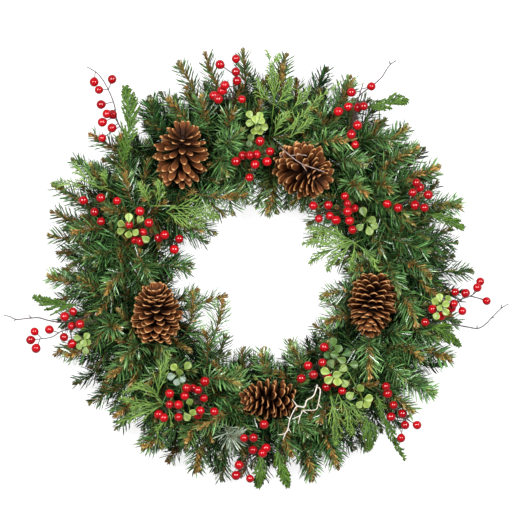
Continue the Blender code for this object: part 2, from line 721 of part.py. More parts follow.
def smooth_run(path, steps):
    """Points at even shares along a path."""
    return [along_run(path, k / steps) for k in range(steps + 1)]


def frond_blade(path, half_width, shoots):
    """A flat frond: side shoots cut to the rib in the outline of one thin blade."""
    rib = smooth_run(path, shoots + 1)
    points = []
    for i, spot in enumerate(rib):
        ahead = (rib[min(i + 1, shoots + 1)] - rib[max(i - 1, 0)]).normalized()
        side, up = across_axes(ahead)
        wide = FROND_RIB * (1.0 - 0.55 * i / (shoots + 1))
        points.append((spot - side * wide, spot + side * wide, up * BLADE / 2, ahead, side))
    outline = []
    right = []
    for i in range(shoots):
        left_root, right_root, _, ahead, side = points[i]
        taper = math.sin(math.pi * (0.28 + 0.62 * i / shoots))
        reach = half_width * MM * taper
        middle = (rib[i] + rib[i + 1]) / 2
        tip = middle + reach * (SHOOT_AHEAD * ahead - Vector((0, 0, SHOOT_DROOP)))
        outline += [left_root, tip - side * reach]
        right = [tip + side * reach, right_root] + right
    outline += [points[shoots][0], rib[-1], points[shoots][1]] + right
    return outline, points[0][2]


def frond_shell(path, half_width, shoots):
    """The frond's blade as a closed solid, with triangles alike on both faces."""
    outline, rise = frond_blade(path, half_width, shoots)
    count = len(outline)
    points = [p - rise for p in outline] + [p + rise for p in outline]
    top = []
    for i in range(shoots):
        left, tooth, nearer = 2 * i, 2 * i + 1, 2 * i + 2
        mate = count - 1 - 2 * i
        mate_tooth = mate - 1
        mate_nearer = mate - 2
        top += [(left, nearer, tooth), (mate, mate_tooth, mate_nearer),
                (left, mate, mate_nearer), (left, mate_nearer, nearer)]
    middle = 2 * shoots
    top.append((middle, middle + 2, middle + 1))
    faces = [tuple(count + v for v in f) for f in top]
    faces += [tuple(reversed(f)) for f in top]
    for k in range(count):
        on = (k + 1) % count
        faces.append((k, k + count, on + count, on))
    return points, faces


def build_fronds():
    """Cedar and juniper fronds on bare stems from the core."""
    for name, (stem, leafy, half_width, shoots) in FRONDS.items():
        path = run(stem)
        blade = run(leafy)
        if (path[-1] - blade[0]).length > 1 * MM:
            path.append(blade[0])
        path.append(blade[0].lerp(blade[1], 0.25))
        key = "juniper" if name.startswith("juniper") else "cedar"
        stalk = tube(path, STALK_RADIUS, BERRY_WIRE)
        shells = [frond_shell(blade, half_width, shoots), stalk]
        CLEARANCE.add_run(path, STALK_RADIUS)
        CLEARANCE.add_run(blade, FROND_CLEARANCE * half_width * MM)
        fuse(name, shells, key)


class Wedge:
    """One sector of the ring: two upright walls through the ring's centre."""

    def __init__(self, index):
        self.start = math.tau * index / SECTORS
        self.end = math.tau * (index + 1) / SECTORS

    def inside(self, point, margin):
        """The point, moved square to a wall where it is nearer to it than the margin."""
        moved = point.copy()
        for angle, sign in ((self.start, 1.0), (self.end, -1.0)):
            wall = Vector((-math.sin(angle), math.cos(angle), 0)) * sign
            short = margin - (moved - CENTRE).dot(wall)
            if short > 0:
                moved += wall * short
        return moved


def around(angle, radius, height):
    """A point at an angle and distance from the ring's centre."""
    return CENTRE + Vector((radius * math.cos(angle), radius * math.sin(angle), height))


def core_shell(wedge, rng):
    """A bundle's slim arched core, whose top and sides rise into short needles."""
    low = 2 * FRAME_RISE + GAP
    points = []
    size = len(CORE_SECTION)
    for i in range(CORE_STEPS + 1):
        angle = wedge.start + (wedge.end - wedge.start) * i / CORE_STEPS
        for out, rise in CORE_SECTION:
            point = around(angle, CORE_RADIUS + out, low + (CORE_TOP - low) * rise)
            points.append(wedge.inside(point, SECTOR_GAP / 2))
    last = CORE_STEPS * size
    faces = [tuple(range(size)), tuple(reversed(range(last, last + size)))]
    for i in range(CORE_STEPS):
        a = i * size
        b = a + size
        faces.append((a + size - 1, b + size - 1, b, a))
        for k in range(size - 1):
            for face in ((a + k, b + k, b + k + 1), (a + k, b + k + 1, a + k + 1)):
                faces += core_needle(points, face, wedge, rng)
    return points, faces


def core_needle(points, face, wedge, rng):
    """A needle raised from the middle of one side of the core, leaning along the ring."""
    corners = [points[v] for v in face]
    middle = sum(corners, Vector()) / 3
    out = (corners[1] - corners[0]).cross(corners[2] - corners[0]).normalized()
    away = middle - CENTRE
    along = Vector((-away.y, away.x, 0)).normalized()
    size = NEEDLE_LENGTH * rng.uniform(0.95, 1.25)
    tip = middle + out * size + along * CORE_SLANT * rng.uniform(0.4, 1.0)
    tip.z = max(tip.z, LOWEST_NEEDLE)
    tip = wedge.inside(tip, SECTOR_GAP / 2)
    feet = []
    for i in range(CORE_FOOT_STEPS + 1):
        for j in range(CORE_FOOT_STEPS + 1 - i):
            k = CORE_FOOT_STEPS - i - j
            feet.append((corners[0] * i + corners[1] * j + corners[2] * k) / CORE_FOOT_STEPS)
    if not all(CLEARANCE.free(foot, tip, CORE_NEEDLE_MARGIN) for foot in feet):
        return [face]
    points.append(tip)
    top = len(points) - 1
    return [(face[0], face[1], top), (face[1], face[2], top), (face[2], face[0], top)]


def spray_path(tip, lean, wedge):
    """An arching stem from the core to a tip, cut short before it meets a decoration."""
    away = tip - CENTRE
    angle = math.atan2(away.y, away.x) + math.radians(lean)
    root = wedge.inside(around(angle, CORE_RADIUS, ROOT_HEIGHT), ROOT_MARGIN)
    bend = root.lerp(tip, 0.5) + Vector((0, 0, STEM_ARCH))
    length = (bend - root).length + (tip - bend).length
    bare = max(0.3, 1.0 - NEEDLED_LENGTH / length)
    steps = max(3, round(length * (1.0 - bare) / NEEDLE_STEP))
    shares = [0.0] + [bare + (1.0 - bare) * k / steps for k in range(steps + 1)]
    path = []
    for share in shares:
        point = root.lerp(bend, share).lerp(bend.lerp(tip, share), share)
        point.z = max(point.z, LOWEST_NEEDLE + STEM_RADIUS)
        point = wedge.inside(point, STEM_MARGIN)
        if path:
            beyond = point + (point - path[-1]).normalized() * TIP_LENGTH
            if not CLEARANCE.free(path[-1], beyond, STEM_CLEARANCE):
                break
        path.append(point)
    return path


def spray_shell(path, wedge, rng):
    """A three-sided stem whose sides rise into forward-leaning needles."""
    last = len(path) - 1
    points = []
    for i, spot in enumerate(path[:-1]):
        ahead = (path[i + 1] - path[max(i - 1, 0)]).normalized()
        side, up = across_axes(ahead)
        radius = STEM_RADIUS * (1.0 - 0.3 * i / last)
        for j in range(3):
            turn = math.radians(60 * i + 120 * j)
            points.append(spot + radius * (math.cos(turn) * side - math.sin(turn) * up))
    tip = len(points)
    points.append(path[-1] + (path[-1] - path[-2]).normalized() * TIP_LENGTH)
    points[-1] = wedge.inside(points[-1], SECTOR_GAP / 2)
    faces = [(2, 1, 0)]
    for i in range(last - 1):
        ahead = (path[i + 1] - path[i]).normalized()
        middle = (path[i] + path[i + 1]) / 2
        for j in range(3):
            near = 3 * i + j
            near_on = 3 * i + (j + 1) % 3
            far = 3 * i + 3 + j
            far_back = 3 * i + 3 + (j + 2) % 3
            for face in ((near, near_on, far), (near, far, far_back)):
                if i == 0:
                    faces.append(face)
                    continue
                faces += needle(points, face, middle, ahead, wedge, rng)
    for j in range(3):
        faces.append((tip - 3 + j, tip - 3 + (j + 1) % 3, tip))
    return points, faces


def needle(points, face, middle, ahead, wedge, rng):
    """The three faces of a needle raised on a side of the stem, or the bare side."""
    base = (points[face[0]] + points[face[1]] + points[face[2]]) / 3
    out = base - middle
    out = (out - ahead * out.dot(ahead)).normalized()
    aim = math.cos(NEEDLE_LEAN) * ahead + math.sin(NEEDLE_LEAN) * out
    size = NEEDLE_LENGTH * rng.uniform(0.82, 1.0)
    for share in (1.0, 0.7, 0.45):
        tip = base + aim * size * share
        tip.z = max(tip.z, LOWEST_NEEDLE)
        tip = wedge.inside(tip, SECTOR_GAP / 2)
        if CLEARANCE.free(base, tip, NEEDLE_MARGIN):
            points.append(tip)
            top = len(points) - 1
            return [(face[0], face[1], top), (face[1], face[2], top), (face[2], face[0], top)]
    return [face]


def branch_tips():
    """Every branch tip with its lean: the outline, the hole's edge and rows on the face."""
    rng = random.Random(24)
    tips = [(place(x, y, z), lean) for x, y, z, lean in OUTER_TIPS + INNER_TIPS]
    for radius, height, count, lean in FACE_ROWS:
        for k in range(count):
            angle = math.tau * (k + rng.uniform(0.2, 0.8)) / count
            distance = radius * rng.uniform(0.95, 1.05)
            tip = around(angle, distance, height * rng.uniform(0.9, 1.05))
            tips.append((tip, lean * rng.choice((-1, 1))))
    return tips


def build_foliage():
    """Twelve bundles of evergreen tips round the ring, each one fused body."""
    rng = random.Random(7)
    wedges = [Wedge(k) for k in range(SECTORS)]
    shells = [[core_shell(w, rng)] for w in wedges]
    for tip, lean in branch_tips():
        away = tip - CENTRE
        index = int((math.atan2(away.y, away.x) % math.tau) / math.tau * SECTORS)
        path = spray_path(tip, lean, wedges[index])
        if len(path) >= 4:
            shells[index].append(spray_shell(path, wedges[index], rng))
    for k, parts in enumerate(shells):
        fuse(f"foliage_bundle_{k + 1:02d}", parts, "foliage")


def main():
    """Build the wreath, the frame first and the foliage last, clear of what it holds."""
    clear_scene()
    build_ring_frame()
    build_cones()
    build_berry_picks()
    build_leaf_sprigs()
    build_twigs()
    build_fronds()
    build_foliage()


main()
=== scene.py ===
"""Looks of a 24 inch evergreen Christmas wreath with cones, berries, leaves and twigs.

It lies on its back, face up. Places on its face are written as (across, down) positions of
the picture, with heights in millimetres above the surface that it lies on.
"""
import math

import bpy
import numpy as np
from mathutils import Matrix


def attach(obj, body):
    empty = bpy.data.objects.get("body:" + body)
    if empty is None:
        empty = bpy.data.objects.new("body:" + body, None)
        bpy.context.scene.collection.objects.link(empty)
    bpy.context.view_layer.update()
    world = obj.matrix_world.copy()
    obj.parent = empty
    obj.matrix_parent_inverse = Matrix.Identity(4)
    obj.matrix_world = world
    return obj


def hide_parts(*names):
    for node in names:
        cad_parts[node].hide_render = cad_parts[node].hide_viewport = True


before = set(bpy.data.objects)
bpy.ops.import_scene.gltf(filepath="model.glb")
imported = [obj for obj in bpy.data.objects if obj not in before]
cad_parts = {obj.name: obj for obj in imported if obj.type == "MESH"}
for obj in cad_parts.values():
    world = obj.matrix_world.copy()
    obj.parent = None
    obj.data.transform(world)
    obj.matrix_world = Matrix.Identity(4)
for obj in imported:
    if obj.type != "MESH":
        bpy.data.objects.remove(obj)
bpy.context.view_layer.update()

# The wire ring behind the greenery: two rings of round steel wire, welded to four short ties
# and dipped in dark green paint. It lies flat, and the bundles of greenery are wound on it.
MM = 0.001
# Metres to a pixel: the greenery, 610 mm wide, spans 430 of them.
PICTURE_STEP = 610 * MM / 430.0
PICTURE_MIDDLE = np.array([256.0, 267.0])
RING_CENTRE = (259.0, 274.0)
RING_RADII = (165 * MM, 203 * MM)
RING_WIRE = 2.05 * MM
TIES = 4
TIE_WIRE = 1.6 * MM
TIE_PAST_RING = 3 * MM
TIE_HUMP = 1.4 * MM
UP = np.array([0.0, 0.0, 1.0])


def at(across, down, height):
    """Metres from a place of the picture: steps from its middle, down turned to -Y."""
    spot = np.stack(np.broadcast_arrays(across, down, height), axis=-1).astype(float)
    flat = (spot[..., :2] - PICTURE_MIDDLE) * (PICTURE_STEP, -PICTURE_STEP)
    return np.concatenate([flat, spot[..., 2:] * MM], axis=-1)


def unit(vectors):
    """Each vector divided by its own length."""
    return vectors / np.maximum(np.linalg.norm(vectors, axis=-1, keepdims=True), 1e-9)


def loft(path, hint, wide, thick, cup=0.0, around=6, tone=(0.0, 0.0, 0.0, 1.0), closed=False,
         edged=False):
    """Closed tubes, blades or scales: an oval carried along each of several paths.

    At each path point, with b going round from 0 to 2 pi, the surface is the point plus
    side * wide * cos b + up * (thick * sin b + cup * cos b squared), where up leans on the
    hint. Each end closes in a pole, or the last oval meets the first where closed is set.
    Where edged is set the tone's blue is how far sideways a point lies, |cos b|.
    """
    path = np.asarray(path, float)
    path = path[None] if path.ndim == 2 else path
    count, steps = path.shape[:2]
    ahead = np.roll(path, -1, 1) - np.roll(path, 1, 1) if closed else np.gradient(path, axis=1)
    ahead = unit(ahead)
    hint = np.broadcast_to(np.asarray(hint, float).reshape(-1, 1, 3), path.shape)
    side = unit(np.cross(hint, ahead))
    up = np.cross(ahead, side)
    bend = np.arange(around) * math.tau / around
    wide, thick, cup = (np.broadcast_to(v, (count, steps))[..., None, None]
                        for v in (wide, thick, cup))
    cos, sin = (f(bend).reshape(1, 1, around, 1) for f in (np.cos, np.sin))
    rings = path[:, :, None] + side[:, :, None] * wide * cos
    rings = rings + up[:, :, None] * (thick * sin + cup * cos ** 2)
    tones = np.broadcast_to(tone, (count, steps, 4))
    points = rings.reshape(count, steps * around, 3)
    shades = np.repeat(tones, around, axis=1)
    if edged:
        shades[..., 2] = np.tile(np.abs(np.cos(bend)), steps)
    i, j = np.meshgrid(np.arange(steps if closed else steps - 1), np.arange(around),
                       indexing="ij")
    row, next_row, next_j = i * around, (i + 1) % steps * around, (j + 1) % around
    a, b, c, d = row + j, row + next_j, next_row + next_j, next_row + j
    faces = np.concatenate([np.stack([a, b, c], -1).reshape(-1, 3),
                            np.stack([a, c, d], -1).reshape(-1, 3)])
    if not closed:
        points = np.concatenate([points, path[:, :1], path[:, -1:]], axis=1)
        shades = np.concatenate([shades, tones[:, :1], tones[:, -1:]], axis=1)
        j = np.arange(around)
        near, last = steps * around, (steps - 1) * around
        start = np.stack([np.full(around, near), (j + 1) % around, j], -1)
        end = np.stack([np.full(around, near + 1), last + j, last + (j + 1) % around], -1)
        faces = np.concatenate([faces, start, end])
    size = points.shape[1]
    faces = faces[None] + (np.arange(count) * size)[:, None, None]
    return points.reshape(-1, 3), faces.reshape(-1, 3), shades.reshape(-1, 4)


def make_piece(name, parts, finish, node, smooth_faces=True):
    """One mesh from several (points, triangles, tones), which stands for a CAD node."""
    starts = np.cumsum([0] + [len(p[0]) for p in parts[:-1]])
    points = np.concatenate([p[0] for p in parts]).astype(np.float32)
    faces = np.concatenate([p[1] + s for p, s in zip(parts, starts)]).astype(np.int32)
    tones = np.concatenate([p[2] for p in parts]).astype(np.float32)
    mesh = bpy.data.meshes.new(name)
    mesh.vertices.add(len(points))
    mesh.vertices.foreach_set("co", points.ravel())
    mesh.loops.add(faces.size)
    mesh.loops.foreach_set("vertex_index", faces.ravel())
    mesh.polygons.add(len(faces))
    mesh.polygons.foreach_set("loop_start", np.arange(0, faces.size, 3, dtype=np.int32))
    mesh.update(calc_edges=True)
    mesh.attributes.new("tone", "FLOAT_COLOR", "POINT").data.foreach_set("color", tones.ravel())
    mesh.polygons.foreach_set("use_smooth", np.full(len(faces), smooth_faces))
    mesh.materials.append(finish.material)
    item = bpy.data.objects.new(name, mesh)
    bpy.context.scene.collection.objects.link(item)
    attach(item, "root")
    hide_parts(node)


def mottle_group():
    """Patches of light and dark: layered noise in object space, stretched to 0 and 1."""
    group = bpy.data.node_groups.new("wreath_mottle", "ShaderNodeTree")
    group.interface.new_socket("Scale", in_out="INPUT", socket_type="NodeSocketFloat")
    group.interface.new_socket("Value", in_out="OUTPUT", socket_type="NodeSocketFloat")
    source = group.nodes.new("NodeGroupInput")
    sink = group.nodes.new("NodeGroupOutput")
    place = group.nodes.new("ShaderNodeTexCoord")
    noise = group.nodes.new("ShaderNodeTexNoise")
    noise.inputs["Detail"].default_value = 4.0
    stretch = group.nodes.new("ShaderNodeMapRange")
    stretch.inputs["From Min"].default_value = 0.32
    stretch.inputs["From Max"].default_value = 0.68
    group.links.new(place.outputs["Object"], noise.inputs["Vector"])
    group.links.new(source.outputs["Scale"], noise.inputs["Scale"])
    group.links.new(noise.outputs["Fac"], stretch.inputs["Value"])
    group.links.new(stretch.outputs["Result"], sink.inputs["Value"])
    return group


MOTTLE = mottle_group()


class Finish:
    """A Principled material whose colour, roughness and relief are worked out by nodes.

    A value given to it is a number, a colour, another node's output, or the name of one
    channel of the piece's tone: Red, Green, Blue or Alpha.
    """

    def __init__(self, name, sockets):
        """A new material; sockets holds the shader's values that are the same all over."""
        self.material = bpy.data.materials.new(name)
        self.material.use_nodes = True
        self.tree = self.material.node_tree
        self.shader = self.tree.nodes["Principled BSDF"]
        self.tone = None
        for key, value in sockets.items():
            self.put(self.shader.inputs[key], value)

    def channel(self, name):
        """One channel of the tone, from nodes that are made when first asked for."""
        if self.tone is None:
            self.tone = self.tree.nodes.new("ShaderNodeAttribute")
            self.tone.attribute_name = "tone"
            self.split = self.tree.nodes.new("ShaderNodeSeparateColor")
            self.tree.links.new(self.tone.outputs["Color"], self.split.inputs["Color"])
        return self.tone.outputs["Alpha"] if name == "Alpha" else self.split.outputs[name]

    def put(self, socket, value):
        """Give a socket a value of any of the four kinds."""
        if isinstance(value, str):
            value = self.channel(value)
        if isinstance(value, bpy.types.NodeSocket):
            self.tree.links.new(value, socket)
        elif isinstance(value, tuple):
            socket.default_value = (*value, 1.0)
        else:
            socket.default_value = value

    def node(self, kind, inputs, output, **settings):
        """One output of a new node, after its settings are made and its inputs put in."""
        item = self.tree.nodes.new("ShaderNode" + kind)
        for key, value in settings.items():
            setattr(item, key, value)
        for key, value in inputs.items():
            self.put(item.inputs[key], value)
        return item.outputs[output]

    def times(self, first, second):
        """Two values multiplied."""
        return self.node("Math", {0: first, 1: second}, 0, operation="MULTIPLY")

    def mottle(self, scale, most=1.0):
        """Patches about 1 / scale metres apart, with values from 0 to most."""
        patches = self.node("Group", {"Scale": scale}, "Value", node_tree=MOTTLE)
        return patches if most == 1.0 else self.times(patches, most)

    def blend(self, share, first, second):
        """Two colours mixed: (1 - share) * first + share * second."""
        return self.node("Mix", {"Factor": share, "A": first, "B": second}, "Result",
                         data_type="RGBA")

    def span(self, value, low, high, start=0.0, end=1.0):
        """A value between low and high, taken smoothly to between start and end."""
        limits = {"From Min": low, "From Max": high, "To Min": start, "To Max": end}
        return self.node("MapRange", {"Value": value, **limits}, "Result",
                         interpolation_type="SMOOTHSTEP")

    def colour(self, base, *layers):
        """The base colour, with each layer's (share, colour) blended over what is below it."""
        for share, top in layers:
            base = self.blend(share, base, top)
        self.put(self.shader.inputs["Base Color"], base)

    def roughness(self, value, low, high):
        """Roughness from low to high where the value goes from 0 to 1."""
        self.put(self.shader.inputs["Roughness"], self.span(value, 0.0, 1.0, low, high))

    def bump(self, scale, strength, depth):
        """Relief of mottled patches, this many metres deep."""
        relief = {"Height": self.mottle(scale), "Strength": strength, "Distance": depth}
        self.put(self.shader.inputs["Normal"], self.node("Bump", relief, "Normal"))


CENTRE = at(*RING_CENTRE, 0.0)


def around_ring(angle, radius, height):
    """Points at an angle and distance from the ring's middle, at a height in metres."""
    angle, radius, height = np.broadcast_arrays(angle, radius, height)
    flat = np.stack([np.cos(angle) * radius, np.sin(angle) * radius, height], axis=-1)
    return CENTRE + flat


ring_paint = Finish("green_wire_paint", {"Roughness": 0.4, "Coat Weight": 0.3})
ring_paint.colour((0.012, 0.035, 0.014), (ring_paint.mottle(90.0), (0.03, 0.075, 0.03)))
ring_paint.bump(600.0, 0.25, 0.0003)
turns = np.linspace(0, math.tau, 160, endpoint=False)
wires = [loft(around_ring(turns, r, RING_WIRE), UP, RING_WIRE, RING_WIRE, around=10,
              closed=True) for r in RING_RADII]
for tie in range(TIES):
    heading = math.tau * (tie + 0.5) / TIES
    reach = np.linspace(RING_RADII[0] - TIE_PAST_RING, RING_RADII[1] + TIE_PAST_RING, 9)
    hump = RING_WIRE + TIE_HUMP * np.sin(np.linspace(0, math.pi, 9))
    wires.append(loft(around_ring(heading, reach, hump), UP, TIE_WIRE, TIE_WIRE, around=8))
make_piece("wire_ring", wires, ring_paint, "ring_frame")

# Five dry pine cones, each wired to the ring by a stalk: a woody spindle with 76 to 130 scales
# in two crossing spirals, dark brown, near black towards each scale's foot as painted shade,
# each with a thick rounded end and a pale rim that is partly worn and partly a painted highlight.
CONE_STALK = 1.5 * MM
SCALE_THICK = 0.9 * MM
GOLDEN_TURN = math.radians(137.508)
# Height in mm at which a stalk's foot is set into the core.
CONE_FOOT = 35.0
# Middle, height, way the tip points, length and width in mm, scales, openness, half a scale's
# width in mm, stalk's foot.
CONES = {
    "upper_left": ((181, 154), 84, (0.10, 0.68, 0.72), 88, 82, 92, 0.9, 4.9, (184, 157)),
    "upper_right": ((303, 170), 84, (0.58, -0.40, 0.70), 77, 83, 114, 0.6, 5.4, (304, 165)),
    "left": ((157, 315), 81, (-0.03, 0.86, 0.50), 84, 76, 126, 0.3, 6.6, (150, 317)),
    "bottom": ((270, 399), 78, (-0.92, 0.04, 0.38), 80, 62, 76, 0.3, 6.4, (270, 399)),
    "right": ((372, 303), 81, (-0.12, -0.90, 0.40), 90, 70, 130, 0.35, 6.6, (375, 303)),
}


def compass(angle):
    """Level directions at angles round from +X: (cos, sin, 0)."""
    return np.stack([np.cos(angle), np.sin(angle), np.zeros(len(angle))], -1)


def swing(angle, first, second):
    """Directions turned by angles from the first to the second: first * cos + second * sin."""
    return np.cos(angle)[..., None] * first + np.sin(angle)[..., None] * second


def cone_scales(length, width, count, openness, finger, seed):
    """Scales of a cone whose tip is along +Z, as a loft of many flat fingers.

    Scale k stands a golden turn on from the last, at share s of the spindle. It leaves it at
    104 - 70 s^2.2 degrees to the tip's way, with 8 more times the openness, and bends by
    -26 + 22 times the openness. At share u along it its width grows as 0.5 + 0.5 (u / 0.7)^1.2
    and closes past u = 0.8 in a half round, with a lip half as thick again at u = 0.9.
    """
    rng = np.random.default_rng(seed)
    share = (np.arange(count) + 0.5) / count
    turn = np.arange(count) * GOLDEN_TURN + rng.uniform(-0.15, 0.15, count)
    out = compass(turn)
    foot = length * (-0.40 + 0.74 * share ** 0.92)
    reach = width / 2 * (0.34 + 0.68 * np.sin(math.pi * (0.16 + 0.72 * share)) ** 0.8)
    reach = reach * rng.uniform(0.9, 1.05, count)
    lean = np.radians(104 - 70 * share ** 2.2 + 8 * openness + rng.uniform(-5, 5, count))
    bend = np.radians(-26 + 22 * openness + rng.uniform(-10, 10, count))
    steps = 11
    along = np.linspace(0, 1, steps) ** 0.8
    heading = lean[:, None] + bend[:, None] * along ** 1.5
    stride = (reach[:, None] * np.gradient(along))[..., None]
    moves = swing(heading, UP, out[:, None]) * stride
    line = np.cumsum(moves, axis=1) - moves[:, :1] + foot[:, None, None] * UP
    finger = finger * (0.7 + 0.36 * np.sin(math.pi * share ** 0.8))
    closing = np.sqrt(np.clip(1 - np.clip((along - 0.8) / 0.205, 0, 1) ** 2, 0.0, 1))
    swell = 0.5 + 0.5 * np.clip(along / 0.7, 0, 1) ** 1.2
    wide = finger[:, None] * swell * closing * rng.uniform(0.9, 1.08, (count, 1))
    lip = 1.0 + 0.5 * np.exp(-((along - 0.9) / 0.08) ** 2)
    thick = SCALE_THICK * (0.75 + 0.4 * along) * lip * closing * np.ones((count, 1))
    cup = wide * (0.60 - 0.35 * openness)
    tone = np.stack(np.broadcast_arrays(along, rng.uniform(0, 1, (count, 1)), share[:, None], 1.0),
                    axis=-1)
    return loft(line, swing(lean, -out, UP), wide, thick, cup, around=8, tone=tone, edged=True)


def turned_to(points, heading, centre):
    """Points of a piece along +Z turned so that +Z is the heading, then moved to a centre."""
    ahead = unit(np.asarray(heading, float))
    side = unit(np.cross(UP, ahead))
    return points @ np.stack([side, np.cross(ahead, side), ahead]) + centre


# The tone along a scale is its red; its blue is how near its side a point lies.
cone_wood = Finish("pine_cone_scale", {"Roughness": 0.62, "Specular IOR Level": 0.12})
# Painted shade: near black at each scale's foot, brown towards its end, for the parts hidden
# between scales. The pale sides and rim at the end are partly worn wood and partly painted
# highlight.
worn_and_highlit_sides = cone_wood.times(cone_wood.span("Red", 0.6, 0.8), cone_wood.span("Blue", 0.72, 1.0))
cone_wood.colour(
    (0.004, 0.0016, 0.001),
    (cone_wood.span("Red", 0.5, 0.95), (0.15, 0.038, 0.009)),
    (cone_wood.times(cone_wood.times("Green", 0.45), "Red"), (0.26, 0.085, 0.022)),
    (cone_wood.times(worn_and_highlit_sides, 0.75), (0.52, 0.25, 0.095)),
    (cone_wood.mottle(260.0, 0.4), (0.05, 0.02, 0.01)),
    # pale rim at the scale's end: partly worn wood, partly painted highlight
    (cone_wood.times(cone_wood.span("Red", 0.92, 0.99), 0.85), (0.66, 0.36, 0.15)))
cone_wood.roughness(cone_wood.mottle(400.0), 0.5, 0.78)
cone_wood.bump(900.0, 0.5, 0.0005)
for seed, (name, facts) in enumerate(CONES.items()):
    spot, height, heading, length, width, count, openness, finger, foot = facts
    middle = at(*spot, height)
    scales = cone_scales(length * MM, width * MM, count, openness, finger * MM, seed)
    spindle_line = np.zeros((12, 3))
    spindle_line[:, 2] = np.linspace(-0.43, 0.40, 12) * length * MM
    spindle_size = 0.12 * width * MM * np.sin(np.linspace(0.35, 2.9, 12))
    spindle = loft(spindle_line, (1, 0, 0), spindle_size, spindle_size, around=10,
                   tone=(0.3, 0.0, 0.5, 1))
    parts = [(turned_to(p, heading, middle), f, t) for p, f, t in (scales, spindle)]
    parts.append(loft(np.stack([at(*foot, CONE_FOOT), middle]), (1, 0, 0), CONE_STALK, CONE_STALK,
                      tone=(0.1, 0.2, 0, 1)))
    make_piece("cone_" + name, parts, cone_wood, "pine_cone_" + name)

# Fourteen picks of artificial berries: foam balls dipped in glossy red lacquer, each on its
# own thin dark wire, twisted onto a wrapped main wire that is pushed into the greenery.
BERRY_RADIUS = 6.4 * MM
PICK_WIRE = 1.05 * MM
BERRY_WIRE = 0.65 * MM
BERRY_STALK = 15 * MM
STALK_SAG = 3 * MM
